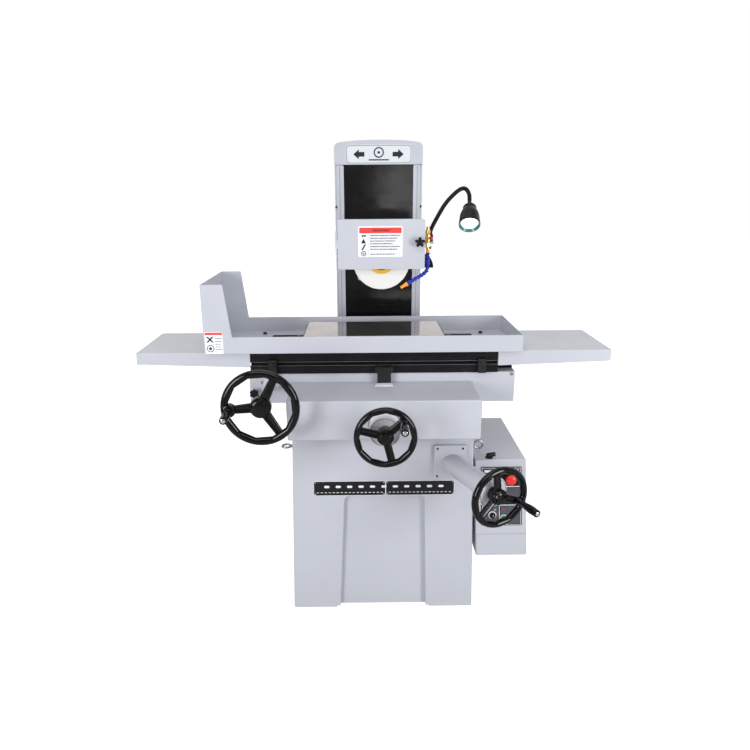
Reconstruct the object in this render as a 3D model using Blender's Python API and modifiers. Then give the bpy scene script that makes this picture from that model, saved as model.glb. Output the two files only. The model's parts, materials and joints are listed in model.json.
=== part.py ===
"""Manual surface grinder: hollow base and column, cross saddle, reciprocating table with a
splash tray and magnetic chuck, and a wheelhead that climbs the column on an elevating screw.

Layout coordinates below are metres from the floor point under the middle of the base's front
face: +X to the operator's right, +Y to the back, +Z up.  The last step moves everything by
FRAME_SHIFT, so that the origin is the floor point under the middle of the whole machine.
"""
import math

import bmesh
import bpy
from mathutils import Matrix, Vector

GAP = 0.0003                    # clearance kept between pieces that touch
FRAME_SHIFT = Vector((0.0286, -0.3815, 0.0))

# Base and its deck
BASE_TOP_Z = 0.730
BASE_BACK_Y = 0.900
BASE_HALF_TOP = 0.3185          # half widths at the deck and at the floor
BASE_HALF_FOOT = 0.3376
BASE_WALL = 0.016
DECK_THICKNESS = 0.018
RAIL_X = 0.200                  # cross ways on the deck
RAIL_WIDTH = 0.060

# Column and its cap
COLUMN_FRONT_Y = 0.600
COLUMN_BACK_Y = 0.870
COLUMN_HALF = 0.176
COLUMN_TOP_Z = 1.6215
COLUMN_WALL = 0.018
COLUMN_LIP_X = 0.141            # inner edges of the front flanges
CAP_TOP_Z = 1.716

# Saddle: a front box that hides the cross screw, and a long table guide
BOX_HALF = 0.3206
BOX_FRONT_Y = -0.121
BOX_BOTTOM_Z = 0.733
BOX_TOP_Z = 0.870
BOX_WALL = 0.012
GUIDE_HALF = 0.474
GUIDE_FRONT_Y = 0.097
GUIDE_BACK_Y = 0.400
GUIDE_BOTTOM_Z = 0.792
GUIDE_TOP_Z = 0.903

# Table, resting a little left of the saddle's middle
TABLE_X = -0.0286
TABLE_HALF = 0.438
TABLE_FRONT_Y = 0.0894
TABLE_BACK_Y = 0.4096
TABLE_TOP_Z = 0.983
WAY_GUARD_REACH = 0.837         # from the table's middle to a way guard's outer end
TRAY_LEFT_X = -0.619
TRAY_RIGHT_X = 0.489
TRAY_FRONT_Y = 0.068
TRAY_BACK_Y = 0.423
TRAY_RIM_Z = 1.0426
TRAY_GUARD_Z = 1.225
SHEET = 0.0025
CHUCK_LENGTH = 0.500
CHUCK_FRONT_Y = 0.097
CHUCK_BACK_Y = 0.347
CHUCK_TOP_Z = 1.037

# Wheelhead and wheel
SPINDLE_Z = 1.286
HEAD_HALF = 0.085
HEAD_HALF_HEIGHT = 0.080
WHEEL_RADIUS = 0.100
WHEEL_FRONT_Y = 0.193
WHEEL_BACK_Y = 0.213
GUARD_HALF = 0.150
GUARD_BOTTOM_Z = 1.262
GUARD_TOP_Z = 1.428
DOOR_FRONT_Y = 0.170

# Hand feeds
TABLE_WHEEL = Vector((-0.3925, -0.193, 0.875))
CROSS_WHEEL = Vector((0.0, -0.240, 0.790))
VERTICAL_WHEEL = Vector((0.3595, -0.270, 0.5967))
VERTICAL_YAW = math.radians(24.0)
TABLE_WHEEL_RADIUS = 0.125
FEED_SHAFT_RADIUS = 0.010       # seat of every handwheel
SCREW_X = -0.118                # elevating screw
SCREW_Y = 0.804
PINION_X = -0.170               # pinion that drives the table's rack
PINION_PITCH_RADIUS = 0.013
PINION_TEETH = 13
PULLEY_RADIUS = 0.020

# Electrical cabinet; its sides lean outward a little towards the floor, like the base's
CABINET_LEFT_X = 0.3275
CABINET_RIGHT_X = 0.509
CABINET_BACK_Y = 0.432
CABINET_BOTTOM_Z = 0.218
CABINET_TOP_Z = 0.605
CABINET_LEFT_LEAN = 0.047
CABINET_RIGHT_LEAN = 0.066

PAINTS = {
    "grey_paint": ((0.60, 0.62, 0.67), 0.40, 0.0),
    "black_paint": ((0.010, 0.010, 0.011), 0.22, 0.0),
    "black_plastic": ((0.012, 0.012, 0.013), 0.35, 0.0),
    "black_rubber": ((0.010, 0.010, 0.010), 0.80, 0.0),
    "ground_steel": ((0.56, 0.54, 0.52), 0.28, 1.0),
    "dark_steel": ((0.10, 0.10, 0.11), 0.40, 1.0),
    "cast_iron": ((0.16, 0.16, 0.17), 0.55, 0.6),
    "brass": ((0.78, 0.52, 0.16), 0.30, 1.0),
    "white_abrasive": ((0.86, 0.85, 0.82), 0.90, 0.0),
    "blue_plastic": ((0.02, 0.04, 0.42), 0.40, 0.0),
    "red_plastic": ((0.75, 0.02, 0.02), 0.35, 0.0),
    "green_plastic": ((0.02, 0.32, 0.08), 0.35, 0.0),
    "lamp_glass": ((0.90, 0.93, 0.95), 0.10, 0.0),
}


# ---------------------------------------------------------------- scene and materials

for old in list(bpy.data.objects):
    bpy.data.objects.remove(old, do_unlink=True)

parts = bpy.data.collections.new("surface_grinder")
tools = bpy.data.collections.new("surface_grinder_cutters")
bpy.context.scene.collection.children.link(parts)
bpy.context.scene.collection.children.link(tools)


def make_material(name, colour, roughness, metallic):
    material = bpy.data.materials.new(name)
    material.use_nodes = True
    shader = material.node_tree.nodes["Principled BSDF"]
    shader.inputs["Base Color"].default_value = (*colour, 1.0)
    shader.inputs["Roughness"].default_value = roughness
    shader.inputs["Metallic"].default_value = metallic
    return material


materials = {name: make_material(name, *look) for name, look in PAINTS.items()}


# ---------------------------------------------------------------- modelling helpers

def add_object(name, mesh, paint=None, frame=Matrix()):
    """Put a mesh, drawn in its own frame, into the scene; without a paint it is a cutter."""
    obj = bpy.data.objects.new(name, mesh)
    obj.matrix_world = frame
    if paint is None:
        tools.objects.link(obj)
        obj.hide_render = True
        obj.display_type = "WIRE"
    else:
        parts.objects.link(obj)
        mesh.materials.clear()
        mesh.materials.append(materials[paint])
    return obj


def move_to_cutters(obj):
    if obj.name in parts.objects:
        parts.objects.unlink(obj)
        tools.objects.link(obj)
    obj.hide_render = True
    obj.display_type = "WIRE"


def combine(target, other, operation):
    move_to_cutters(other)
    modifier = target.modifiers.new(operation.lower(), "BOOLEAN")
    modifier.operation = operation
    modifier.object = other
    return target


def cut(target, *others):
    for other in others:
        combine(target, other, "DIFFERENCE")
    return target


def join(target, *others):
    for other in others:
        combine(target, other, "UNION")
    return target


def soften(obj, width, segments=1, angle=35.0):
    bevel = obj.modifiers.new("bevel", "BEVEL")
    bevel.width = width
    bevel.segments = segments
    bevel.limit_method = "ANGLE"
    bevel.angle_limit = math.radians(angle)
    return obj


def smooth(obj, angle=40.0):
    obj.data.shade_smooth()
    obj.data.set_sharp_from_angle(angle=math.radians(angle))
    return obj


def box(name, low, high, paint=None, origin=None):
    """A box between two corners; its origin is its middle unless one is given."""
    low = Vector(low)
    high = Vector(high)
    middle = (low + high) / 2 if origin is None else Vector(origin)
    bm = bmesh.new()
    bmesh.ops.create_cube(bm, size=1.0)
    bmesh.ops.scale(bm, vec=high - low, verts=bm.verts)
    bmesh.ops.translate(bm, vec=(low + high) / 2 - middle, verts=bm.verts)
    mesh = bpy.data.meshes.new(name)
    bm.to_mesh(mesh)
    bm.free()
    return add_object(name, mesh, paint, Matrix.Translation(middle))


def along(start, end):
    """A frame at start whose +Z runs to end."""
    start = Vector(start)
    turn = (Vector(end) - start).to_track_quat("Z", "Y")
    return Matrix.Translation(start) @ turn.to_matrix().to_4x4()


def facing(place, yaw=0.0):
    """A frame whose +Z looks at the operator (-Y), turned by yaw about the vertical."""
    turn = Matrix.Rotation(yaw, 4, "Z") @ Matrix.Rotation(math.radians(90.0), 4, "X")
    return Matrix.Translation(Vector(place)) @ turn


def rod(name, start, end, radius, paint=None, sides=24):
    """A cylinder from start to end, with its origin at start."""
    length = (Vector(end) - Vector(start)).length
    bm = bmesh.new()
    bmesh.ops.create_cone(
        bm, cap_ends=True, segments=sides, radius1=radius, radius2=radius, depth=length)
    bmesh.ops.translate(bm, vec=(0, 0, length / 2), verts=bm.verts)
    mesh = bpy.data.meshes.new(name)
    bm.to_mesh(mesh)
    bm.free()
    return smooth(add_object(name, mesh, paint, along(start, end)))


def turned(name, frame, profile, paint=None, steps=24, bore=0.0):
    """Turn (radius, height) points, listed from top to bottom, about the frame's Z axis."""
    if bore:
        points = [(bore, profile[0][1])] + profile + [(bore, profile[-1][1])]
    else:
        points = [(0.0, profile[0][1])] + profile + [(0.0, profile[-1][1])]
    count = len(points)
    edges = [(i, i + 1) for i in range(count - 1)]
    if bore:
        edges.append((count - 1, 0))
    mesh = bpy.data.meshes.new(name)
    mesh.from_pydata([(radius, 0.0, height) for radius, height in points], edges, [])
    obj = add_object(name, mesh, paint, frame)
    screw = obj.modifiers.new("turn", "SCREW")
    screw.axis = "Z"
    screw.steps = steps
    screw.render_steps = steps
    screw.use_merge_vertices = True
    screw.merge_threshold = 0.00002
    screw.use_smooth_shade = True
    return obj


def rounded(points, radii, arc_steps=3):
    """Round the corners of a closed outline; radii gives one radius for each corner."""
    result = []
    count = len(points)
    for i, radius in enumerate(radii):
        corner = Vector(points[i])
        if radius <= 0.0:
            result.append(tuple(corner))
            continue
        back = (Vector(points[i - 1]) - corner).normalized()
        ahead = (Vector(points[(i + 1) % count]) - corner).normalized()
        half = back.angle(ahead) / 2
        reach = radius / math.tan(half)
        centre = corner + (back + ahead).normalized() * radius / math.sin(half)
        start = corner + back * reach - centre
        end = corner + ahead * reach - centre
        for step in range(arc_steps + 1):
            spoke = start.lerp(end, step / arc_steps).normalized() * radius
            result.append(tuple(centre + spoke))
    return result


PLANES = {
    "XZ": Matrix(((1, 0, 0, 0), (0, 0, -1, 0), (0, 1, 0, 0), (0, 0, 0, 1))),
    "YZ": Matrix(((0, 0, 1, 0), (1, 0, 0, 0), (0, 1, 0, 0), (0, 0, 0, 1))),
    "XY": Matrix(),
}
PLANE_NORMAL = {"XZ": -1.0, "YZ": 1.0, "XY": 1.0}


def prism(name, outlines, low, high, plane, paint=None, frame=None):
    """Fill flat outlines (the first is the edge, others are holes) and extrude them along
    the plane's normal, from low to high; with a frame, they are drawn in that frame."""
    curve = bpy.data.curves.new(name, "CURVE")
    curve.dimensions = "2D"
    curve.fill_mode = "BOTH"
    curve.extrude = (high - low) / 2
    for outline in outlines:
        spline = curve.splines.new("POLY")
        spline.points.add(len(outline) - 1)
        for point, (u, v) in zip(spline.points, outline):
            point.co = (u, v, 0.0, 1.0)
        spline.use_cyclic_u = True
    drawn = bpy.data.objects.new(name + "_outline", curve)
    bpy.context.scene.collection.objects.link(drawn)
    depsgraph = bpy.context.evaluated_depsgraph_get()
    mesh = bpy.data.meshes.new_from_object(drawn.evaluated_get(depsgraph))
    bpy.data.objects.remove(drawn, do_unlink=True)
    middle = (low + high) / 2
    bm = bmesh.new()
    bm.from_mesh(mesh)
    bmesh.ops.remove_doubles(bm, verts=bm.verts, dist=0.00001)
    bmesh.ops.recalc_face_normals(bm, faces=bm.faces)
    bm.to_mesh(mesh)
    bm.free()
    mesh.name = name
    if frame is None:
        along_normal = Matrix.Translation((0, 0, middle * PLANE_NORMAL[plane]))
        frame = PLANES[plane] @ along_normal
    else:
        frame = frame @ Matrix.Translation((0, 0, middle))
    return add_object(name, mesh, paint, frame)


def pipe(name, points, radius, paint, resolution=2):
    """A round bar along points, with filled and welded ends."""
    curve = bpy.data.curves.new(name, "CURVE")
    curve.dimensions = "3D"
    curve.bevel_depth = radius
    curve.bevel_resolution = resolution
    curve.use_fill_caps = True
    spline = curve.splines.new("POLY")
    spline.points.add(len(points) - 1)
    for point, place in zip(spline.points, points):
        point.co = (*(Vector(place) - Vector(points[0])), 1.0)
    drawn = bpy.data.objects.new(name + "_path", curve)
    bpy.context.scene.collection.objects.link(drawn)
    depsgraph = bpy.context.evaluated_depsgraph_get()
    mesh = bpy.data.meshes.new_from_object(drawn.evaluated_get(depsgraph))
    bpy.data.objects.remove(drawn, do_unlink=True)
    bm = bmesh.new()
    bm.from_mesh(mesh)
    bmesh.ops.remove_doubles(bm, verts=bm.verts, dist=0.00001)
    bmesh.ops.recalc_face_normals(bm, faces=bm.faces)
    bm.to_mesh(mesh)
    bm.free()
    mesh.name = name
    return smooth(add_object(name, mesh, paint, Matrix.Translation(Vector(points[0]))))


def smooth_path(points, per_span=4):
    """Points along a Catmull-Rom curve through a few route points."""
    route = [Vector(p) for p in points]
    route = [2 * route[0] - route[1]] + route + [2 * route[-1] - route[-2]]
    result = []
    for a, b, c, d in zip(route, route[1:], route[2:], route[3:]):
        for step in range(per_span):
            t = step / per_span
            result.append(0.5 * (2 * b + (c - a) * t + (2 * a - 5 * b + 4 * c - d) * t ** 2
                                 + (3 * b - a - 3 * c + d) * t ** 3))
    result.append(route[-2])
    return result


# ---------------------------------------------------------------- base and column

def feed_axis(distance):
    """A point on the vertical feed shaft, measured back from its handwheel's rim plane."""
    back = Vector((-math.sin(VERTICAL_YAW), math.cos(VERTICAL_YAW), 0.0))
    return VERTICAL_WHEEL + back * distance


FEED_SHAFT_LENGTH = (SCREW_Y - VERTICAL_WHEEL.y) / math.cos(VERTICAL_YAW)
TUBE_LENGTH = -VERTICAL_WHEEL.y / math.cos(VERTICAL_YAW)


def tapered_block(name, inset, low_z, high_z, paint=None):
    """The base's outline, drawn in by inset, between two heights."""
    block = box(name, (-1, inset + (0.020 if inset else 0.0), low_z),
                (1, BASE_BACK_Y - inset, high_z), paint, origin=(0, 0, 0))
    for vertex in block.data.vertices:
        share = (BASE_TOP_Z - vertex.co.z) / BASE_TOP_Z
        half = BASE_HALF_TOP + (BASE_HALF_FOOT - BASE_HALF_TOP) * share - inset
        vertex.co.x = math.copysign(half, vertex.co.x)
    return block


def make_base():
    base = tapered_block("base_casting", 0.0, 0.0, BASE_TOP_Z, "grey_paint")
    soften(base, 0.006, 2)
    cavity = tapered_block("base_cavity", BASE_WALL, -0.02, BASE_TOP_Z - DECK_THICKNESS)
    panel = rounded([(-0.163, -0.02), (0.163, -0.02), (0.149, 0.4675), (-0.139, 0.4675)],
                    [0, 0, 0.018, 0.018])
    recess = prism("base_front_recess", [panel], -0.01, 0.016, "XZ")
    toe_front = box("base_toe_front", (-0.1735, -0.02, -0.01), (0.1735, 0.92, 0.008))
    toe_side = box("base_toe_side", (-0.4, 0.17, -0.01), (0.4, 0.73, 0.008))
    screw_hole = rod("base_screw_hole", (SCREW_X, SCREW_Y, 0.65), (SCREW_X, SCREW_Y, 0.80), 0.030)
    shaft_hole = rod("base_shaft_hole", feed_axis(0.22), feed_axis(0.40), 0.031)
    cut(base, cavity, recess, toe_front, toe_side, screw_hole, shaft_hole)
    for side in (-1, 1):
        inner = side * RAIL_X - RAIL_WIDTH / 2
        rail = box("base_rail", (inner, 0.020, BASE_TOP_Z - 0.008),
                   (inner + RAIL_WIDTH, 0.560, GUIDE_BOTTOM_Z - GAP))
        join(base, rail)


def make_column():
    lip, half, front, back = COLUMN_LIP_X, COLUMN_HALF, COLUMN_FRONT_Y, COLUMN_BACK_Y
    inner = half - COLUMN_WALL
    step = 0.006
    side = [(lip, front), (half - 0.008, front), (half - 0.008, front + step),
            (half, front + step), (half, back)]
    inside = [(inner, back - COLUMN_WALL), (inner, front + COLUMN_WALL), (lip, front + COLUMN_WALL)]
    right = side + [(-x, y) for x, y in reversed(side)]
    left = [(-x, y) for x, y in reversed(inside)] + inside
    column = prism("column_casting", [right + left], BASE_TOP_Z + GAP, COLUMN_TOP_Z, "XY",
                   "grey_paint")
    foot = box("column_foot", (-0.205, 0.580, BASE_TOP_Z + GAP), (0.205, 0.892, 0.758))
    join(column, soften(foot, 0.003, 1))
    well = box("column_well", (-inner, front + COLUMN_WALL, 0.70),
               (inner, back - COLUMN_WALL, 0.80))
    slot = box("column_rear_slot", (-0.095, back - 0.03, 1.045), (0.095, back + 0.02, 1.530))
    front_well = box("column_front_well", (-lip, front - 0.10, 0.758 + GAP),
                     (lip, front + 0.03, 0.80))
    cut(column, well, slot, front_well)


def make_column_cap():
    half = COLUMN_HALF + 0.0005
    edge_z = CAP_TOP_Z - 0.020
    crown = [(half * math.cos(t), edge_z + 0.020 * math.sin(t) ** 0.8)
             for t in (math.radians(18 + 144 * i / 12) for i in range(13))]
    outline = [(-half, COLUMN_TOP_Z + GAP), (half, COLUMN_TOP_Z + GAP), (half, edge_z - 0.006)]
    outline += crown + [(-half, edge_z - 0.006)]
    cap = prism("column_cap", [outline], 0.5945, 0.8760, "XZ", "grey_paint")
    low = box("cap_hollow_low", (-0.168, 0.606, 1.60), (0.168, 0.866, 1.684))
    high = box("cap_hollow_high", (-0.125, 0.606, 1.60), (0.125, 0.866, 1.7035))
    cut(cap, low, high)


def make_column_covers():
    edge = [(-0.1405, 0.7606), (0.1405, 0.7606), (0.1405, COLUMN_TOP_Z - 0.0005),
            (-0.1405, COLUMN_TOP_Z - 0.0005)]
    window = [(-0.0945, 1.055), (0.0945, 1.055), (0.0945, 1.516), (-0.0945, 1.516)]
    prism("column_front_cover", [edge, window], 0.604, 0.607, "XZ", "black_paint")
    slider = [(-0.105, 0.908), (0.105, 0.908), (0.105, 1.553), (-0.105, 1.553)]
    half = HEAD_HALF + GAP
    low = SPINDLE_Z - HEAD_HALF_HEIGHT - GAP
    high = SPINDLE_Z + HEAD_HALF_HEIGHT + GAP
    hole = [(-half, low), (half, low), (half, high), (-half, high)]
    prism("sliding_way_cover", [slider, hole], 0.6095, 0.6115, "XZ", "black_paint")
    box("telescopic_cover", (-0.105, 0.6135, 1.4755), (0.105, 0.6155, 1.6265), "black_paint")


def make_lifting_eye(name, side, tilt):
    """An eye screwed into the base's side; tilt turns its ring about the shank."""
    x = side * (BASE_HALF_TOP + 0.0063)
    centre = Vector((x + side * 0.024, 0.070, 0.636))
    bpy.ops.mesh.primitive_torus_add(
        major_segments=16, minor_segments=6, major_radius=0.0155, minor_radius=0.0038)
    ring = bpy.context.object
    for collection in list(ring.users_collection):
        collection.objects.unlink(ring)
    parts.objects.link(ring)
    ring.name = name
    ring.data.materials.append(materials["dark_steel"])
    ring.matrix_world = Matrix.Translation(centre) @ Matrix.Rotation(tilt, 4, "X")
    shank = rod(name + "_shank", (x, 0.070, 0.636), centre - Vector((side * 0.0125, 0, 0)), 0.0052,
                sides=10)
    join(ring, shank)


def make_cross_feed_nut():
    nut = box("cross_feed_nut", (-0.028, 0.140, BASE_TOP_Z + GAP), (0.028, 0.200, 0.815), "brass")
    cut(nut, rod("cross_nut_bore", (0, 0.13, CROSS_WHEEL.z), (0, 0.21, CROSS_WHEEL.z), 0.0126))


# ---------------------------------------------------------------- saddle and table

def make_saddle():
    front, back, low, top = GUIDE_FRONT_Y, GUIDE_BACK_Y, GUIDE_BOTTOM_Z, GUIDE_TOP_Z
    channel_z = 0.845
    guide = [(front, low), (back, low), (back, top), (0.265, top), (0.265, channel_z),
             (0.200, channel_z), (0.200, top), (front, top)]
    saddle = prism("saddle_casting", [guide], -GUIDE_HALF, GUIDE_HALF, "YZ", "grey_paint")
    shell = box("saddle_box", (-BOX_HALF, BOX_FRONT_Y, BOX_BOTTOM_Z), (BOX_HALF, 0.120, BOX_TOP_Z))
    join(saddle, soften(shell, 0.005, 2))
    hollow = box("saddle_box_hollow", (-BOX_HALF + BOX_WALL, BOX_FRONT_Y + BOX_WALL, 0.70),
                 (BOX_HALF - BOX_WALL, front + GAP, BOX_TOP_Z - BOX_WALL))
    open_back = box("saddle_box_back", (-BOX_HALF + BOX_WALL, 0.05, 0.70),
                    (BOX_HALF - BOX_WALL, 0.130, low))
    screw_bay = box("saddle_screw_bay", (-0.045, 0.09, 0.70), (0.045, 0.45, 0.828))
    cut(saddle, hollow, open_back, screw_bay)
    for side in (-1, 1):
        for near, far, end_z in ((0.252, 0.452, 0.832), (0.066, 0.154, 0.832)):
            pocket = box("saddle_pocket", (min(side * near, side * far), 0.125, 0.78),
                         (max(side * near, side * far), 0.375, end_z))
            cut(saddle, pocket)
    housing = turned("drive_shaft_housing", facing((TABLE_WHEEL.x, GUIDE_FRONT_Y, TABLE_WHEEL.z)),
                     [(0.015, 0.140), (0.018, 0.136), (0.018, 0.050), (0.024, 0.044),
                      (0.028, 0.040), (0.028, -0.010)])
    join(saddle, housing)
    shaft_bore = rod("drive_shaft_bore", (TABLE_WHEEL.x, -0.10, TABLE_WHEEL.z),
                     (TABLE_WHEEL.x, 0.205, TABLE_WHEEL.z), 0.0108)
    pinion_bore = rod("pinion_bore", (PINION_X, 0.180, TABLE_WHEEL.z),
                      (PINION_X, 0.285, TABLE_WHEEL.z), 0.0087)
    screw_bore = rod("cross_screw_bore", (0, -0.15, CROSS_WHEEL.z), (0, -0.09, CROSS_WHEEL.z), 0.0126)
    cut(saddle, shaft_bore, pinion_bore, screw_bore)
    ridge = [(0.1456, top + GAP), (0.1844, top + GAP), (0.165, 0.9305)]
    prism("vee_way", [ridge], -GUIDE_HALF, GUIDE_HALF, "YZ", "cast_iron")
    box("flat_way", (-GUIDE_HALF, 0.3305, top + GAP), (GUIDE_HALF, 0.3695, 0.918), "cast_iron")


def make_saddle_details():
    stop = prism("table_travel_stop", [[(0.0705, BOX_TOP_Z + GAP), (GUIDE_FRONT_Y - GAP, BOX_TOP_Z + GAP),
                                        (GUIDE_FRONT_Y - GAP, 0.9030), (0.0885, 0.9030),
                                        (0.0885, 0.9290), (0.0705, 0.9290)]],
                 -0.0180, 0.0300, "YZ", "black_paint")
    ears = box("stop_ears", (-0.0262, 0.0705, 0.9080), (0.0370, 0.0885, 0.9290))
    join(stop, ears)
    knob = facing((-0.4560, GUIDE_FRONT_Y - GAP, 0.8360))
    turned("table_lock_knob", knob,
           [(0.010, 0.034), (0.0165, 0.031), (0.0165, 0.016), (0.008, 0.013), (0.008, 0.0)],
           "black_plastic", 12)


def rack_tooth_outline(start_x, teeth, pitch, tip_z, root_z, back_z):
    points = []
    for i in range(teeth):
        x = start_x + i * pitch
        points += [(x + pitch * 0.16, root_z), (x + pitch * 0.38, tip_z),
                   (x + pitch * 0.62, tip_z), (x + pitch * 0.84, root_z)]
    return points + [(start_x + teeth * pitch, back_z), (start_x, back_z)]


def make_table():
    front, back, top = TABLE_FRONT_Y, TABLE_BACK_Y, TABLE_TOP_Z
    under = GUIDE_TOP_Z + GAP
    profile = [
        (front, under), (0.145, under), (0.165, 0.9313), (0.185, under), (0.330, under),
        (0.330, 0.9185), (0.370, 0.9185), (0.370, under), (back, under), (back, top),
        (0.222, top), (0.222, 0.972), (0.228, 0.972), (0.228, 0.962), (0.202, 0.962),
        (0.202, 0.972), (0.208, 0.972), (0.208, top), (front, top), (front, 0.946),
        (0.0974, 0.946), (0.0974, 0.952), (0.1054, 0.952), (0.1054, 0.928),
        (0.0974, 0.928), (0.0974, 0.934), (front, 0.934)]
    prism("table", [profile], TABLE_X - TABLE_HALF, TABLE_X + TABLE_HALF, "YZ", "cast_iron")
    pitch = 2 * math.pi * PINION_PITCH_RADIUS / PINION_TEETH
    teeth = 93
    start = PINION_X - pitch * teeth / 2
    shift = TABLE_WHEEL.z
    outline = rack_tooth_outline(start, teeth, pitch, shift + 0.0115, shift + 0.0158,
                                 GUIDE_TOP_Z)
    prism("table_rack", [outline], 0.238, 0.258, "XZ", "dark_steel")


def make_way_guards():
    for name, side in (("left_way_guard", -1), ("right_way_guard", 1)):
        inner = TABLE_X + side * (TABLE_HALF + GAP)
        outer = TABLE_X + side * WAY_GUARD_REACH
        outline = [(inner, 0.928), (outer, 0.942), (outer, TABLE_TOP_Z), (inner, TABLE_TOP_Z)]
        guard = prism(name, [outline], TABLE_FRONT_Y, TABLE_BACK_Y, "XZ", "grey_paint")
        wall = 0.003
        xs = sorted((inner - side * 0.02, outer - side * wall))
        hollow = box("way_guard_hollow", (xs[0], TABLE_FRONT_Y + wall, 0.90),
                     (xs[1], TABLE_BACK_Y - wall, TABLE_TOP_Z - wall))
        cut(guard, hollow)


def make_splash_tray():
    floor_z = TABLE_TOP_Z + 0.0006
    end = [(TRAY_LEFT_X, floor_z), (TRAY_RIGHT_X, floor_z), (TRAY_RIGHT_X, TRAY_RIM_Z),
           (-0.521, TRAY_RIM_Z), (-0.542, TRAY_GUARD_Z), (TRAY_LEFT_X, TRAY_GUARD_Z)]
    window = [(-0.417, 0.095), (0.353, 0.095), (0.353, 0.352), (-0.417, 0.352)]
    floor = [(TRAY_LEFT_X, TRAY_FRONT_Y), (TRAY_RIGHT_X, TRAY_FRONT_Y),
             (TRAY_RIGHT_X, TRAY_BACK_Y), (TRAY_LEFT_X, TRAY_BACK_Y)]
    tray = prism("splash_tray", [floor, window], floor_z, floor_z + SHEET, "XY", "grey_paint")
    front = prism("tray_front", [end], TRAY_FRONT_Y, TRAY_FRONT_Y + SHEET, "XZ")
    rear = prism("tray_rear", [end], TRAY_BACK_Y - SHEET, TRAY_BACK_Y, "XZ")
    left = box("tray_left", (TRAY_LEFT_X, TRAY_FRONT_Y, floor_z),
               (TRAY_LEFT_X + SHEET, TRAY_BACK_Y, TRAY_GUARD_Z))
    right = box("tray_right", (TRAY_RIGHT_X - SHEET, TRAY_FRONT_Y, floor_z),
                (TRAY_RIGHT_X, TRAY_BACK_Y, TRAY_RIM_Z))
    join(tray, front, rear, left, right)


def make_chuck():
    half = CHUCK_LENGTH / 2
    chuck = box("magnetic_chuck", (TABLE_X - half, CHUCK_FRONT_Y, TABLE_TOP_Z + GAP),
                (TABLE_X + half, CHUCK_BACK_Y, CHUCK_TOP_Z), "ground_steel")
    soften(chuck, 0.0012, 1)
    for side in (-1, 1):
        near = TABLE_X + side * (half - 0.010)
        xs = sorted((near, near + side * 0.052))
        lug = box("chuck_lug", (xs[0], 0.200, TABLE_TOP_Z + GAP), (xs[1], 0.230, 1.001))
        join(chuck, lug)
        x = TABLE_X + side * (half + 0.026)
        join(chuck, rod("lug_nut", (x, 0.215, 0.998), (x, 0.215, 1.012), 0.009, sides=6))


def make_stop_dogs():
    for name, left_x in (("left_stop_dog", -0.401), ("right_stop_dog", 0.3365)):
        dog = prism(name, [[(0.0735, 0.905), (TABLE_FRONT_Y - GAP, 0.905),
                            (TABLE_FRONT_Y - GAP, 0.935), (0.0960, 0.935), (0.0960, 0.945),
                            (TABLE_FRONT_Y - GAP, 0.945), (TABLE_FRONT_Y - GAP, 0.957),
                            (0.0775, 0.957), (0.0735, 0.953)]],
                    left_x, left_x + 0.029, "YZ", "dark_steel")
        bolt = rod("dog_bolt", (left_x + 0.0145, 0.076, 0.940), (left_x + 0.0145, 0.0705, 0.940), 0.006,
                   sides=10)
        join(dog, bolt)


# ---------------------------------------------------------------- hand feeds

def make_handwheel(name, frame, radius, hub_radius, grip_radius, grip_angle, hub_back):
    """A three-spoked handwheel whose rim plane is the frame's XY plane, and its grip."""
    rim_bar = 0.0118
    bpy.ops.mesh.primitive_torus_add(
        major_segments=30, minor_segments=8, major_radius=radius - rim_bar, minor_radius=rim_bar)
    wheel = bpy.context.object
    for collection in list(wheel.users_collection):
        collection.objects.unlink(wheel)
    parts.objects.link(wheel)
    wheel.name = name
    wheel.data.materials.append(materials["black_plastic"])
    wheel.matrix_world = frame
    hub = turned(name + "_hub", frame,
                 [(hub_radius - 0.008, 0.010), (hub_radius - 0.002, 0.006), (hub_radius, -0.004),
                  (hub_radius - 0.001, -0.022), (0.024, -0.030), (0.024, hub_back)], steps=20)
    join(wheel, hub)
    for i in range(3):
        turn = Matrix.Rotation(math.radians(grip_angle + 120.0 * i), 4, "Z")
        spoke = box(name + "_spoke", (0.018, -0.0115, -0.016), (radius - rim_bar, 0.0115, 0.002),
                    origin=(0, 0, 0))
        spoke.matrix_world = frame @ turn
        join(wheel, spoke)
    turn = Matrix.Rotation(math.radians(grip_angle), 4, "Z")
    seat = frame @ turn @ Matrix.Translation((grip_radius, 0, 0))
    boss = turned(name + "_boss", seat, [(0.016, 0.016), (0.018, 0.013), (0.018, -0.012)], steps=14)
    join(wheel, boss)
    bore = turned(name + "_bore", frame, [(FEED_SHAFT_RADIUS + GAP, -0.010), (FEED_SHAFT_RADIUS + GAP, -0.20)],
                  steps=20)
    cut(wheel, bore)
    smooth(wheel)
    turned(name + "_grip", seat @ Matrix.Translation((0, 0, 0.0163)),
           [(0.0075, 0.082), (0.0115, 0.079), (0.0120, 0.071), (0.0135, 0.052), (0.0105, 0.011),
            (0.0115, 0.006), (0.0105, 0.0)], "black_plastic", 14)


def gear_outline(teeth, pitch_radius, tip, root, phase):
    points = []
    for i in range(teeth):
        for offset, radius in ((-0.30, root), (-0.10, tip), (0.10, tip), (0.30, root)):
            angle = 2 * math.pi * (i + offset) / teeth + phase
            points.append((radius * math.cos(angle), radius * math.sin(angle)))
    return points


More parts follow.
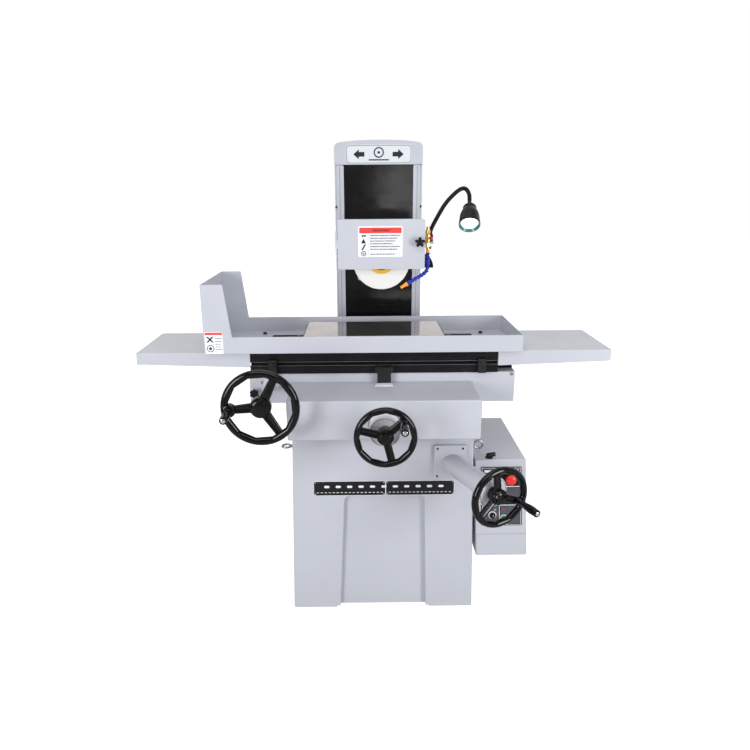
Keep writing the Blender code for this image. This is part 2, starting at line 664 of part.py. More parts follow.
def make_table_drive():
    make_handwheel("table_handwheel", facing(TABLE_WHEEL), TABLE_WHEEL_RADIUS, 0.033, 0.098, 184.0, -0.050)
    axis = facing((TABLE_WHEEL.x, 0.0, TABLE_WHEEL.z))
    turned("table_drive_shaft", axis,
           [(0.010, 0.180), (0.010, -0.2047), (PULLEY_RADIUS, -0.2050), (PULLEY_RADIUS, -0.2250)],
           "dark_steel", 20)
    pinion_axis = facing((PINION_X, 0.0, TABLE_WHEEL.z))
    shaft = turned("rack_pinion_shaft", pinion_axis,
                   [(0.008, -0.185), (0.008, -0.2047), (PULLEY_RADIUS, -0.2050),
                    (PULLEY_RADIUS, -0.2250), (0.008, -0.2253), (0.008, -0.2800)],
                   "dark_steel", 20)
    teeth = gear_outline(PINION_TEETH, PINION_PITCH_RADIUS, 0.0148, 0.0108,
                         math.pi / 2 + math.pi / PINION_TEETH)
    join(shaft, prism("pinion_teeth", [teeth], -0.259, -0.237, "XY", frame=pinion_axis))
    loops = []
    for radius in (PULLEY_RADIUS + 0.0026, PULLEY_RADIUS + 0.0009):
        loop = []
        for centre, first in ((PINION_X, -90.0), (TABLE_WHEEL.x, 90.0)):
            for i in range(9):
                angle = math.radians(first + 180.0 * i / 8)
                loop.append((centre + radius * math.cos(angle),
                             TABLE_WHEEL.z + radius * math.sin(angle)))
        loops.append(loop)
    prism("table_drive_belt", loops, 0.2060, 0.2240, "XZ", "black_rubber")


def make_cross_feed():
    make_handwheel("cross_handwheel", facing(CROSS_WHEEL), 0.100, 0.0262, 0.0755, 44.0, -0.0425)
    axis = facing((0.0, 0.0, CROSS_WHEEL.z))
    turned("cross_feed_screw", axis,
           [(0.010, 0.228), (0.010, 0.176), (0.012, 0.174), (0.012, -0.456), (0.010, -0.460)],
           "dark_steel", 20)
    turned("cross_feed_dial", facing((0.0, BOX_FRONT_Y - GAP, CROSS_WHEEL.z)),
           [(0.030, 0.0750), (0.046, 0.0745), (0.0500, 0.0725), (0.0510, 0.0700), (0.0510, 0.010),
            (0.048, 0.006), (0.048, 0.0)], "ground_steel", 32, bore=0.0124)


def make_vertical_feed():
    frame = facing(VERTICAL_WHEEL, VERTICAL_YAW)
    make_handwheel("vertical_handwheel", frame, 0.1035, 0.0262, 0.0780, -21.0, -0.0345)
    plate = box("vertical_feed_tube", (0.1800, -0.0123, 0.5375), (0.2920, -GAP, 0.6665), "grey_paint")
    soften(plate, 0.003, 1)
    sleeve = rod("feed_sleeve", feed_axis(0.0805), feed_axis(TUBE_LENGTH + 0.020), 0.036, sides=28)
    bore = rod("feed_sleeve_bore", feed_axis(0.090), feed_axis(TUBE_LENGTH + 0.08), 0.030, sides=20)
    nose = rod("feed_nose_bore", feed_axis(0.06), feed_axis(0.12), 0.0130, sides=20)
    behind = box("behind_plate", (0.0, -GAP, 0.45), (0.5, 0.10, 0.75))
    join(plate, sleeve)
    cut(plate, bore, nose, behind)
    turned("vertical_feed_dial", frame,
           [(0.030, -0.0350), (0.050, -0.0357), (0.0535, -0.0380), (0.0535, -0.0600), (0.038, -0.0800)],
           "ground_steel", 28, bore=0.0103)
    reach = FEED_SHAFT_LENGTH
    turned("vertical_feed_shaft", frame,
           [(0.010, -0.012), (0.010, -0.0802), (0.0125, -0.0804), (0.0125, 0.036 - reach),
            (0.0165, 0.034 - reach), (0.0100, 0.0185 - reach)], "dark_steel", 20)
    base_z = VERTICAL_WHEEL.z
    turned("elevating_screw", Matrix.Translation((SCREW_X, SCREW_Y, 0.0)),
           [(0.012, 1.575), (0.014, 1.570), (0.014, base_z + 0.036), (0.034, base_z + 0.034),
            (0.034, base_z + 0.028), (0.020, base_z + 0.0175)], "dark_steel", 20)


# ---------------------------------------------------------------- wheelhead

def make_wheelhead():
    low, high = SPINDLE_Z - HEAD_HALF_HEIGHT, SPINDLE_Z + HEAD_HALF_HEIGHT
    head = box("wheelhead_housing", (-HEAD_HALF, 0.262, low), (HEAD_HALF, 0.905, high), "grey_paint")
    soften(head, 0.010, 2)
    inner = COLUMN_HALF - COLUMN_WALL - 0.0005
    carriage = box("head_carriage", (-inner, 0.655, low - 0.016), (inner, 0.725, high + 0.016))
    lug = box("head_lug", (-0.1465, 0.776, 1.262), (-0.080, 0.832, 1.310))
    join(head, carriage, lug)
    spindle_bore = rod("head_bore", (0, 0.25, SPINDLE_Z), (0, 0.92, SPINDLE_Z), 0.031)
    nut_seat = rod("nut_seat", (SCREW_X, SCREW_Y, 1.25), (SCREW_X, SCREW_Y, 1.32), 0.0223)
    run = rod("screw_run", (SCREW_X, SCREW_Y, 1.10), (SCREW_X, SCREW_Y, 1.50), 0.0160)
    cut(head, spindle_bore, nut_seat, run)
    turned("elevating_nut", Matrix.Translation((SCREW_X, SCREW_Y, 0.0)),
           [(0.022, 1.310), (0.022, 1.262)], "brass", 20, bore=0.0145)
    turned("spindle_bearing", facing((0, 0.268, SPINDLE_Z)), [(0.0307, 0.0), (0.0307, -0.036)],
           "dark_steel", 20, bore=0.0183)
    motor = turned("spindle_motor", facing((0, 0.9053, SPINDLE_Z)),
                   [(0.070, 0.0), (0.070, -0.010), (0.088, -0.014), (0.088, -0.150),
                    (0.085, -0.154), (0.085, -0.186), (0.070, -0.196)], "grey_paint", 28)
    socket = rod("motor_socket", (0, 0.90, SPINDLE_Z), (0, 0.945, SPINDLE_Z), 0.0190)
    terminal = box("terminal_box", (-0.045, 0.940, SPINDLE_Z + 0.070), (0.045, 1.030, SPINDLE_Z + 0.118))
    join(motor, soften(terminal, 0.004, 1))
    cut(motor, socket)


def make_spindle():
    axis = facing((0, 0.0, SPINDLE_Z))
    turned("spindle_shaft", axis,
           [(0.0130, -0.1770), (0.0140, -0.1780), (0.0140, -0.2130), (0.0450, -0.2133),
            (0.0450, -0.2200), (0.0280, -0.2205), (0.0280, -0.2630), (0.0180, -0.2640),
            (0.0180, -0.9300)], "dark_steel", 24)
    turned("grinding_wheel", axis,
           [(WHEEL_RADIUS, -WHEEL_FRONT_Y), (WHEEL_RADIUS, -WHEEL_BACK_Y)], "white_abrasive", 48,
           bore=0.0161)
    flange = turned("wheel_flange", axis,
                    [(0.0440, -0.1850), (0.0480, -0.1870), (0.0480, -0.1927), (0.0158, -0.1929),
                     (0.0158, -0.2128)], "dark_steel", 28, bore=0.0143)
    nut = turned("flange_nut", axis, [(0.0240, -0.1782), (0.0240, -0.1860)], steps=6, bore=0.0168)
    join(flange, nut)


def make_guard():
    front = 0.1785
    guard = box("wheel_guard", (-GUARD_HALF, front, GUARD_BOTTOM_Z), (GUARD_HALF, 0.2617, GUARD_TOP_Z),
                "grey_paint")
    hollow = box("guard_hollow", (-GUARD_HALF + 0.004, 0.10, 1.20),
                 (GUARD_HALF - 0.004, 0.2570, GUARD_TOP_Z - 0.004))
    hole = rod("guard_hole", (0, 0.25, SPINDLE_Z), (0, 0.27, SPINDLE_Z), 0.034)
    cut(guard, hollow, hole)
    bracket = box("lamp_bracket", (GUARD_HALF - 0.002, 0.2235, 1.342), (0.1860, 0.2465, 1.3497))
    latch = box("knob_post", (0.1180, front, 1.3400), (GUARD_HALF - 0.002, 0.190, 1.3680))
    ears = [rod("guard_knuckle", (-0.1575, 0.1740, z), (-0.1575, 0.1740, z + 0.030), 0.0034, sides=10)
            for z in (1.300, 1.362)]
    tabs = [box("guard_tab", (-0.1590, 0.1762, z), (-GUARD_HALF + 0.002, 0.1840, z + 0.030))
            for z in (1.300, 1.362)]
    join(guard, bracket, latch, *tabs, *ears)
    low, high = 1.2605, 1.4315
    outline = rounded([(-0.1530, low), (0.1510, low), (0.1510, high), (-0.1530, high)],
                      [0.006, 0.006, 0.014, 0.006])
    hinge = Matrix.Translation((-0.1575, 0.1740, 1.346))
    door = prism("guard_door", [outline], DOOR_FRONT_Y, 0.1755, "XZ", "grey_paint")
    door.data.transform(hinge.inverted() @ door.matrix_world)
    door.matrix_world = hinge
    knuckle = rod("door_knuckle", (-0.1575, 0.1740, 1.3305), (-0.1575, 0.1740, 1.3615), 0.0034, sides=10)
    leaf = box("door_leaf", (-0.1590, DOOR_FRONT_Y, 1.3305), (-0.1500, 0.1728, 1.3615))
    join(door, knuckle, leaf)
    knob_frame = facing((0.1318, DOOR_FRONT_Y - GAP, 1.3540))
    lobes = []
    for i in range(40):
        angle = 2 * math.pi * i / 40
        lobes.append(((0.0145 + 0.0035 * math.cos(5 * angle)) * math.sin(angle),
                      (0.0145 + 0.0035 * math.cos(5 * angle)) * math.cos(angle)))
    knob = prism("guard_door_knob", [lobes], 0.010, 0.024, "XY", "black_plastic", frame=knob_frame)
    stem = turned("knob_stem", knob_frame, [(0.008, 0.012), (0.009, 0.0)], steps=12)
    join(knob, stem)


def make_lamp():
    base = Vector((0.174, 0.235, 1.3500))
    route = [(0.174, 0.235, 1.370), (0.178, 0.235, 1.392), (0.1936, 0.235, 1.4243),
             (0.2237, 0.235, 1.4762), (0.2544, 0.235, 1.5106), (0.2790, 0.235, 1.5290),
             (0.2965, 0.234, 1.5290), (0.3082, 0.231, 1.5110), (0.3094, 0.224, 1.4865)]
    neck = pipe("lamp_gooseneck", smooth_path(route, 3), 0.0073, "black_rubber")
    socket = rod("lamp_socket", base, base + Vector((0, 0, 0.026)), 0.0115, sides=16)
    join(neck, socket)
    tilt = math.radians(45.0)
    aim = Vector((-0.13 * math.cos(tilt), -math.cos(tilt), -math.sin(tilt))).normalized()
    top = Vector((0.3096, 0.2205, 1.4800))
    head = along(top, top + aim)
    turned("lamp_head", head,
           [(0.0310, 0.0980), (0.0360, 0.0980), (0.0365, 0.0900), (0.0330, 0.0560), (0.0250, 0.0330),
            (0.0235, 0.0180), (0.0120, 0.0040), (0.0095, 0.0)], "black_plastic", 24)
    pocket = rod("lamp_pocket", top + aim * 0.088, top + aim * 0.12, 0.0300, sides=24)
    cut(bpy.data.objects["lamp_head"], pocket)
    rod("lamp_lens", top + aim * 0.0883, top + aim * 0.0905, 0.0296, "lamp_glass", 24)


def make_coolant():
    x, y = 0.1640, 0.2050
    body = rod("coolant_valve", (x, y, 1.3250), (x, y, 1.3950), 0.0062, "brass", 8)
    block = box("valve_block", (x - 0.0075, y - 0.0075, 1.3400), (x + 0.0075, y + 0.0075, 1.3760))
    stud = rod("valve_stud", (GUARD_HALF + GAP, y, 1.3580), (x, y, 1.3580), 0.0050, sides=10)
    join(body, block, stud)
    pivot = Vector((x + 0.0078, y, 1.3640))
    lever = rod("valve_lever", pivot, pivot + Vector((0.0060, 0, 0)), 0.0045, "red_plastic", 10)
    arm = box("lever_arm", pivot + Vector((0.0030, -0.0240, -0.0035)), pivot + Vector((0.0060, 0.0, 0.0035)))
    join(lever, arm)
    route = [(x, y, 1.3247), (x + 0.0010, y, 1.2950), (x + 0.0012, y, 1.2680),
             (x - 0.0040, y, 1.2480), (0.1421, y, 1.2325), (0.1180, y, 1.2190),
             (0.0976, y, 1.2061), (0.0830, y, 1.1975), (0.0695, y, 1.1895)]
    pipe("coolant_hose", smooth_path(route, 3), 0.0062, "blue_plastic")


# ---------------------------------------------------------------- electrical cabinet

def lean(x, z):
    """Where a line that stands at x on the cabinet's top has got to at height z."""
    share = (x - CABINET_LEFT_X) / (CABINET_RIGHT_X - CABINET_LEFT_X)
    slope = CABINET_LEFT_LEAN + (CABINET_RIGHT_LEAN - CABINET_LEFT_LEAN) * share
    return x + (CABINET_TOP_Z - z) * slope


def make_cabinet():
    cabinet = box("control_box", (CABINET_LEFT_X, 0.0020, CABINET_BOTTOM_Z),
                  (CABINET_RIGHT_X, CABINET_BACK_Y, CABINET_TOP_Z), "grey_paint", origin=(0, 0, 0))
    hollow = box("cabinet_hollow", (CABINET_LEFT_X + 0.002, 0.0045, CABINET_BOTTOM_Z + 0.003),
                 (CABINET_RIGHT_X - 0.002, CABINET_BACK_Y - 0.0025, CABINET_TOP_Z - 0.0025),
                 origin=(0, 0, 0))
    for block in (cabinet, hollow):
        for vertex in block.data.vertices:
            vertex.co.x = lean(vertex.co.x, vertex.co.z)
    soften(cabinet, 0.003, 1)
    slot = box("cabinet_cable_entry", (0.410, 0.300, 0.20), (0.450, 0.340, 0.24))
    cut(cabinet, hollow, slot)
    low, high = 0.3440, 0.5770
    outline = [(lean(0.3475, low), low), (lean(0.4920, low), low), (lean(0.4920, high), high),
               (lean(0.3475, high), high)]
    panel = prism("control_panel", [outline], -0.0008, 0.0017, "XZ", "black_plastic")
    gland = rod("cable_gland", (0.3800, 0.0180, CABINET_TOP_Z + GAP), (0.3800, 0.0180, 0.6210), 0.0140,
                "black_plastic", 6)
    cap = rod("gland_cap", (0.3800, 0.0180, 0.6180), (0.4000, 0.0100, 0.6230), 0.0085, sides=12)
    join(gland, cap)
    stop_x, start_x, off_x, selector_x = 0.4530, 0.4400, 0.4660, 0.3985
    controls = ((stop_x, 0.5370, 0.0115), (start_x, 0.3770, 0.0095), (off_x, 0.3770, 0.0095),
                (selector_x, 0.3870, 0.0065))
    for x, z, radius in controls:
        cut(panel, rod("panel_hole", (x, -0.02, z), (x, 0.02, z), radius, sides=20))
        cut(cabinet, rod("cabinet_hole", (x, -0.02, z), (x, 0.02, z), radius, sides=20))
    face = -0.0008
    turned("emergency_stop", facing((stop_x, face, 0.5370)),
           [(0.012, 0.034), (0.018, 0.030), (0.019, 0.022), (0.011, 0.019), (0.011, -0.010)],
           "red_plastic", 20)
    for name, x, paint in (("start_button", start_x, "green_plastic"), ("stop_button", off_x, "red_plastic")):
        turned(name, facing((x, face, 0.3770)), [(0.0080, 0.009), (0.0090, 0.0075), (0.0090, -0.010)],
               paint, 16)
    selector = turned("magnet_selector", facing((selector_x, face, 0.3870)),
                      [(0.0100, 0.008), (0.0110, 0.007), (0.0110, GAP), (0.0060, GAP / 2),
                       (0.0060, -0.010)], "black_plastic", 16)
    bar = box("selector_bar", (selector_x - 0.0035, face - 0.0160, 0.3770),
              (selector_x + 0.0035, face - 0.0050, 0.3970))
    join(selector, bar)


# ---------------------------------------------------------------- assembly

make_base()
make_column()
make_column_cap()
make_column_covers()
make_lifting_eye("left_lifting_eye", -1, 0.0)
make_lifting_eye("right_lifting_eye", 1, math.radians(90.0))
make_cross_feed_nut()
make_saddle()
make_saddle_details()
make_table()
make_way_guards()
make_splash_tray()
make_chuck()
make_stop_dogs()
make_table_drive()
make_cross_feed()
make_vertical_feed()
make_wheelhead()
make_spindle()
make_guard()
make_lamp()
make_coolant()
make_cabinet()

for obj in list(parts.objects) + list(tools.objects):
    obj.matrix_world = Matrix.Translation(FRAME_SHIFT) @ obj.matrix_world
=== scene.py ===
"""Looks of a manual surface grinder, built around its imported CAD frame.

Every casting's CAD node is copied, welded and given rounded edges; turned, bent and moulded
parts are rebuilt finely; plates, screws, bezels and seams are added.  Layout coordinates are
metres from the floor point under the middle of the base's front face, as in the CAD.
"""

import json
import math

import bmesh
import bpy
from mathutils import Matrix, Vector

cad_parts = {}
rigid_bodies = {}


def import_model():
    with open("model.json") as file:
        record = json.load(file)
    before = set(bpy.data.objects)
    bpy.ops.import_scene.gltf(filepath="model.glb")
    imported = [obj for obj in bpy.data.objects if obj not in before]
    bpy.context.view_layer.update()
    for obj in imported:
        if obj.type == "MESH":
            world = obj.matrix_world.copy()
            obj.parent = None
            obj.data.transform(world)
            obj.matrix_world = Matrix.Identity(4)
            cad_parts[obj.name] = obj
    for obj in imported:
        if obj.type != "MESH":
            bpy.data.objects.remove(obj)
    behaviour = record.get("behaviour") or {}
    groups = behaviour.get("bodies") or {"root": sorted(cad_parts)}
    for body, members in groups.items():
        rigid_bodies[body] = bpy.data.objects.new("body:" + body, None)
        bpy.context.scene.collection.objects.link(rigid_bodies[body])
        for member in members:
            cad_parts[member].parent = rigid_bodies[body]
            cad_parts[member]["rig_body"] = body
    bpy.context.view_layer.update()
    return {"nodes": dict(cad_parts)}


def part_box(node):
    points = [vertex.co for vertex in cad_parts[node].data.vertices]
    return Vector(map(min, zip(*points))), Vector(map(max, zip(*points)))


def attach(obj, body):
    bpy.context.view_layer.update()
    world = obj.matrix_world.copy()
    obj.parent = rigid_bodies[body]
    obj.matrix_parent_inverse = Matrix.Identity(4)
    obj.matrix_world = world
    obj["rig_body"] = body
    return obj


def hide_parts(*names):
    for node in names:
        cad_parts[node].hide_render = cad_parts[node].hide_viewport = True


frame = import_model()
nodes = frame["nodes"]
base_low, base_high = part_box("base_casting")
ORIGIN = Vector(((base_low.x + base_high.x) / 2, base_low.y, 0))
FEED_YAW = math.radians(24.0)
SPINDLE_Z = 1.286

# Degrees from which an edge is drawn sharp, the least turn that is bevelled, the most that still
# counts as flat, and the gap that is welded.
SHARP = 32.0
BEVEL_ANGLE = math.radians(40.0)
FLAT_ANGLE = math.radians(0.6)
WELD = 0.00002


def at(x, y, z):
    """A layout point, in the frame's coordinates."""
    return ORIGIN + Vector((x, y, z))


def spun(angle):
    return Matrix.Rotation(angle, 4, "Z")


def turns(count, start=0.0):
    """Angles that share one full turn."""
    return [2 * math.pi * i / count + start for i in range(count)]


def add_node(tree, kind, values=None):
    """A new shader node with some of its inputs set."""
    node = tree.nodes.new("ShaderNode" + kind)
    for socket, value in (values or {}).items():
        node.inputs[socket].default_value = value
    return node


def add_object(name, data):
    obj = bpy.data.objects.new(name, data)
    bpy.context.scene.collection.objects.link(obj)
    return obj


# ---- materials

class Surface:
    """A Principled material made of nodes, and the record's slot that it stands for."""

    def __init__(self, slot, name, sockets):
        self.slot = slot
        self.material = bpy.data.materials.new(name)
        self.material.use_nodes = True
        self.tree = self.material.node_tree
        self.shader = self.tree.nodes["Principled BSDF"]
        for socket, value in sockets.items():
            self.shader.inputs[socket].default_value = value
        self.place = add_node(self.tree, "TexCoord").outputs["Object"]
        self.normal = None

    def link(self, output, node, socket):
        self.tree.links.new(output, node.inputs[socket])

    def stretched(self, scale):
        mapping = add_node(self.tree, "Mapping", {"Scale": scale})
        self.link(self.place, mapping, "Vector")
        return mapping.outputs["Vector"]

    def noise(self, scale, detail=3.0, roughness=0.55, vector=None):
        node = add_node(self.tree, "TexNoise",
                        {"Scale": scale, "Detail": detail, "Roughness": roughness})
        self.link(vector or self.place, node, "Vector")
        return node.outputs["Fac"]

    def cells(self, scale):
        node = add_node(self.tree, "TexVoronoi", {"Scale": scale})
        self.link(self.place, node, "Vector")
        return node.outputs["Distance"]

    def tint(self, factor, first, second, start=0.3, end=0.7):
        ramp = add_node(self.tree, "ValToRGB")
        ramp.color_ramp.elements[0].position = start
        ramp.color_ramp.elements[0].color = (*first, 1)
        ramp.color_ramp.elements[1].position = end
        ramp.color_ramp.elements[1].color = (*second, 1)
        self.link(factor, ramp, "Fac")
        self.link(ramp.outputs["Color"], self.shader, "Base Color")

    def gloss(self, factor, low, high, start=0.35, end=0.65):
        node = add_node(self.tree, "MapRange",
                        {"From Min": start, "From Max": end, "To Min": low, "To Max": high})
        self.link(factor, node, "Value")
        self.link(node.outputs["Result"], self.shader, "Roughness")

    def relief(self, height, distance, strength):
        node = add_node(self.tree, "Bump", {"Distance": distance, "Strength": strength})
        self.link(height, node, "Height")
        if self.normal is not None:
            self.link(self.normal, node, "Normal")
        self.normal = node.outputs["Normal"]
        self.link(self.normal, self.shader, "Normal")


GRAIN, PRINT_GRAIN = 0.00002, 0.000002


def shade(colour, share):
    return tuple(min(1.0, channel * share) for channel in colour)


def enamel(slot, name, colour, low, high, coat, peel=0.00003):
    """Sprayed machine paint: faint clouding, uneven gloss and orange peel."""
    surface = Surface(slot, name, {"Coat Weight": coat, "Coat Roughness": 0.12,
                                   "Specular IOR Level": 0.4})
    surface.tint(surface.noise(3.5, 4.0), shade(colour, 0.965), shade(colour, 1.025))
    surface.gloss(surface.noise(14.0, 5.0), low, high)
    surface.relief(surface.noise(420.0, 2.0), peel, 0.5)
    surface.relief(surface.noise(55.0, 2.0), peel * 3.0, 0.35)
    return surface


def plastic(slot, name, colour, low, high, grain=GRAIN, specular=0.5, vary=0.1):
    """Moulded plastic or print: slight mottling, uneven gloss and a fine grain."""
    surface = Surface(slot, name, {"Specular IOR Level": specular})
    surface.tint(surface.noise(40.0, 3.0), shade(colour, 1.0 - vary), shade(colour, 1.0 + vary))
    surface.gloss(surface.noise(75.0, 4.0), low, high)
    surface.relief(surface.noise(1500.0, 2.0), grain, 0.5)
    return surface


def steel(slot, name, colour, low, high, brushed, scratch=0.000012):
    """Bright metal with fine lines; brushed stretches them along one direction."""
    surface = Surface(slot, name, {"Metallic": 1.0})
    lines = surface.noise(1.0, 5.0, 0.65, surface.stretched(brushed))
    surface.tint(surface.noise(9.0, 4.0), shade(colour, 0.86), shade(colour, 1.08))
    surface.gloss(lines, low, high, 0.3, 0.7)
    surface.relief(lines, scratch, 0.7)
    return surface


GREY = enamel("grey_paint", "grey_enamel", (0.494, 0.512, 0.568), 0.3, 0.42, 0.25)
BLACK = enamel("black_paint", "black_enamel", (0.0045, 0.004, 0.0046), 0.07, 0.16, 0.0,
               0.000004)
BLACK.relief(BLACK.noise(3.2, 3.0), 0.004, 0.5)
DIAL = enamel("ground_steel", "dial_satin_chrome", (0.64, 0.635, 0.67), 0.24, 0.36, 0.4)

PHENOLIC, SATIN, PANEL, PANEL_GREY, RUBBER, RED, GREEN, BLUE, ORANGE, TEAL = (
    plastic(*row) for row in (
        ("black_plastic", "black_phenolic", (0.0016, 0.0016, 0.0018), 0.05, 0.1, 0.000003, 0.34),
        ("black_plastic", "black_satin_plastic", (0.007, 0.007, 0.008), 0.24, 0.36, GRAIN, 0.2),
        ("black_plastic", "panel_film", (0.007, 0.007, 0.008), 0.26, 0.36, 0.00001, 0.35),
        ("black_plastic", "panel_print_grey", (0.07, 0.07, 0.085), 0.3, 0.4),
        ("black_rubber", "black_rubber", (0.003, 0.003, 0.0035), 0.34, 0.48, 0.00004, 0.18),
        ("red_plastic", "red_plastic", (0.78, 0.03, 0.028), 0.24, 0.34),
        ("green_plastic", "green_plastic", (0.02, 0.34, 0.09), 0.24, 0.34),
        ("blue_plastic", "blue_acetal", (0.014, 0.03, 0.42), 0.2, 0.3),
        ("orange_plastic", "orange_acetal", (0.95, 0.34, 0.04), 0.3, 0.42),
        ("lamp_glass", "lamp_rim_teal", (0.055, 0.16, 0.17), 0.18, 0.26)))

# The two ink materials print the labels and dial marks, and also paint shade: dark lines and rings
# for recesses, gaps and the chuck's shadowed ends.
WHITE, SILVER, LABEL_RED, OXBLOOD, INK_AND_SHADE, GREY_INK_AND_SHADE = (
    plastic(slot, name, colour, low, high, PRINT_GRAIN, specular, vary)
    for slot, name, colour, low, high, specular, vary in (
        ("label_white", "label_white", (0.8, 0.82, 0.86), 0.35, 0.45, 0.5, 0.015),
        ("label_white", "silver_film", (0.66, 0.69, 0.73), 0.3, 0.42, 0.5, 0.02),
        ("label_red", "label_red", (0.76, 0.05, 0.045), 0.35, 0.45, 0.5, 0.03),
        ("label_red", "label_dark_red", (0.25, 0.018, 0.018), 0.35, 0.45, 0.5, 0.03),
        ("black_plastic", "label_ink_and_painted_shade", (0.01, 0.01, 0.011), 0.4, 0.5, 0.4, 0.03),
        ("black_plastic", "label_grey_ink_and_painted_shade", (0.17, 0.175, 0.19), 0.4, 0.5, 0.4, 0.03)))

# The zinc material is also used to paint highlights: the bright strips along the table's T-slot
# lips.
ZINC_AND_HIGHLIGHT, PLATEN, BRIGHT, OXIDE, BRASS = (
    steel(*row) for row in (
        ("bright_steel", "zinc_plate_and_painted_highlight", (0.42, 0.42, 0.44), 0.24, 0.38, (400, 400, 400)),
        ("ground_steel", "ground_platen", (0.44, 0.4, 0.385), 0.05, 0.1, (14, 900, 900),
         0.0000008),
        ("bright_steel", "bright_steel", (0.8, 0.8, 0.81), 0.08, 0.16, (300, 300, 40)),
        ("dark_steel", "black_oxide_steel", (0.058, 0.057, 0.06), 0.28, 0.42,
         (260, 260, 260)),
        ("brass", "brass", (0.8, 0.55, 0.2), 0.16, 0.3, (400, 400, 60))))
PLATEN.shader.inputs["Metallic"].default_value = 0.9

IRON = Surface("cast_iron", "blackened_iron", {"Specular IOR Level": 0.2})
IRON.tint(IRON.noise(18.0, 5.0), (0.004, 0.004, 0.0045), (0.01, 0.01, 0.011))
IRON.gloss(IRON.noise(1.0, 5.0, 0.6, IRON.stretched((6, 320, 320))), 0.24, 0.42)
IRON.relief(IRON.noise(700.0, 3.0), 0.00003, 0.6)

ABRASIVE = Surface("white_abrasive", "white_aluminium_oxide", {"Roughness": 0.92})
ABRASIVE.tint(ABRASIVE.cells(1500.0), (0.78, 0.775, 0.765), (0.66, 0.65, 0.63), 0.25, 0.85)
ABRASIVE.relief(ABRASIVE.noise(1100.0, 5.0, 0.7), 0.00035, 0.9)

BLOTTER = Surface("yellow_card", "blotter_card", {"Roughness": 0.85})
BLOTTER.tint(BLOTTER.noise(260.0, 5.0, 0.7), (0.8, 0.46, 0.045), (0.66, 0.35, 0.03))
BLOTTER.relief(BLOTTER.noise(900.0, 4.0), 0.00008, 0.8)

LENS = Surface("lamp_glass", "lit_lens", {"Emission Strength": 2.2,
                                          "Emission Color": (0.93, 0.98, 1, 1)})
facets = LENS.cells(330.0)
LENS.tint(facets, (0.95, 0.97, 1), (0.8, 0.88, 0.92), 0.2, 0.9)
LENS.gloss(facets, 0.08, 0.2, 0.1, 0.9)
LENS.relief(facets, 0.0004, 0.8)


# ---- mesh helpers

def facing(place, yaw=0.0):
    """A frame whose +Z looks at the operator (-Y), turned by yaw about the vertical."""
    turn = spun(yaw) @ Matrix.Rotation(math.radians(90.0), 4, "X")
    return Matrix.Translation(place) @ turn


def plane(y):
    """A frame for drawing in layout x and z, at one depth."""
    return facing(at(0, y, 0))


def along(start, end):
    """A frame at start whose +Z runs to end."""
    turn = (end - start).to_track_quat("Z", "Y")
    return Matrix.Translation(start) @ turn.to_matrix().to_4x4()


def upright(place):
    return Matrix.Translation(place)


def lathe(bm, place, profile, steps=48, hollow=False, paint=0, phase=0.0, capped=True):
    """Spin (radius, height) points about the frame's Z.

    A capped profile closes onto the axis at both ends; a hollow one joins its end to its start.
    """
    if capped and not hollow:
        start, end = ([(0, height)] if radius else []
                      for radius, height in (profile[0], profile[-1]))
        profile = start + profile + end
    rings = []
    for radius, height in profile:
        if radius < 0.00001:
            rings.append([bm.verts.new(place @ Vector((0, 0, height)))])
            continue
        rings.append([bm.verts.new(place @ Vector((radius * math.cos(angle),
                                                   radius * math.sin(angle), height)))
                      for angle in turns(steps, phase)])
    following = rings[1:] + rings[:1] if hollow else rings[1:]
    for upper, lower in zip(rings, following):
        for i in range(steps):
            j = (i + 1) % steps
            loop = [upper[i % len(upper)], upper[j % len(upper)],
                    lower[j % len(lower)], lower[i % len(lower)]]
            corners = list(dict.fromkeys(loop))
            if len(corners) > 2:
                bm.faces.new(corners).material_index = paint


def block(bm, low, high, edge=0.0, paint=0, place=None, segments=2):
    """A box between two corners, with rounded edges."""
    low, high = Vector(low), Vector(high)
    made = bmesh.ops.create_cube(bm, size=1.0)["verts"]
    bmesh.ops.scale(bm, vec=high - low, verts=made)
    bmesh.ops.translate(bm, vec=(low + high) / 2, verts=made)
    if place is not None:
        bmesh.ops.transform(bm, matrix=place, verts=made)
    faces = {face for vertex in made for face in vertex.link_faces}
    for face in faces:
        face.material_index = paint
    if edge:
        edges = list(dict.fromkeys(line for vertex in made for line in vertex.link_edges))
        bmesh.ops.bevel(bm, geom=edges, offset=edge, segments=segments, profile=0.5,
                        affect="EDGES", clamp_overlap=True, material=-1)


def prism(bm, outline, low, high, place, paint=0):
    """Extrude a flat outline, drawn in the frame's XY, from low to high along its Z."""
    bottom = [bm.verts.new(place @ Vector((x, y, low))) for x, y in outline]
    top = [bm.verts.new(place @ Vector((x, y, high))) for x, y in outline]
    faces = [bm.faces.new(bottom[::-1]), bm.faces.new(top)]
    for i in range(len(outline)):
        j = (i + 1) % len(outline)
        faces.append(bm.faces.new((bottom[i], bottom[j], top[j], top[i])))
    for face in faces:
        face.material_index = paint


def skin(bm, rings, closed=False, paint=0):
    """Join rings of vertices into a tube, which bends back to its start or has flat ends."""
    faces = []
    following = rings[1:] + rings[:1] if closed else rings[1:]
    for first, second in zip(rings, following):
        for k in range(len(first)):
            m = (k + 1) % len(first)
            faces.append(bm.faces.new((first[k], first[m], second[m], second[k])))
    if not closed:
        faces += [bm.faces.new(rings[0][::-1]), bm.faces.new(rings[-1])]
    for face in faces:
        face.material_index = paint


def sweep(bm, path, radii, sides=20, paint=0):
    """A round bar along a path, with a radius at each point and closed ends."""
    rings = []
    across = (path[1] - path[0]).normalized().orthogonal().normalized()
    for i, (point, radius) in enumerate(zip(path, radii)):
        ahead = path[min(i + 1, len(path) - 1)] - path[max(i - 1, 0)]
        ahead.normalize()
        across = (across - ahead * across.dot(ahead)).normalized()
        other = ahead.cross(across)
        rings.append([bm.verts.new(point + (across * math.cos(angle)
                                            + other * math.sin(angle)) * radius)
                      for angle in turns(sides)])
    skin(bm, rings, paint=paint)


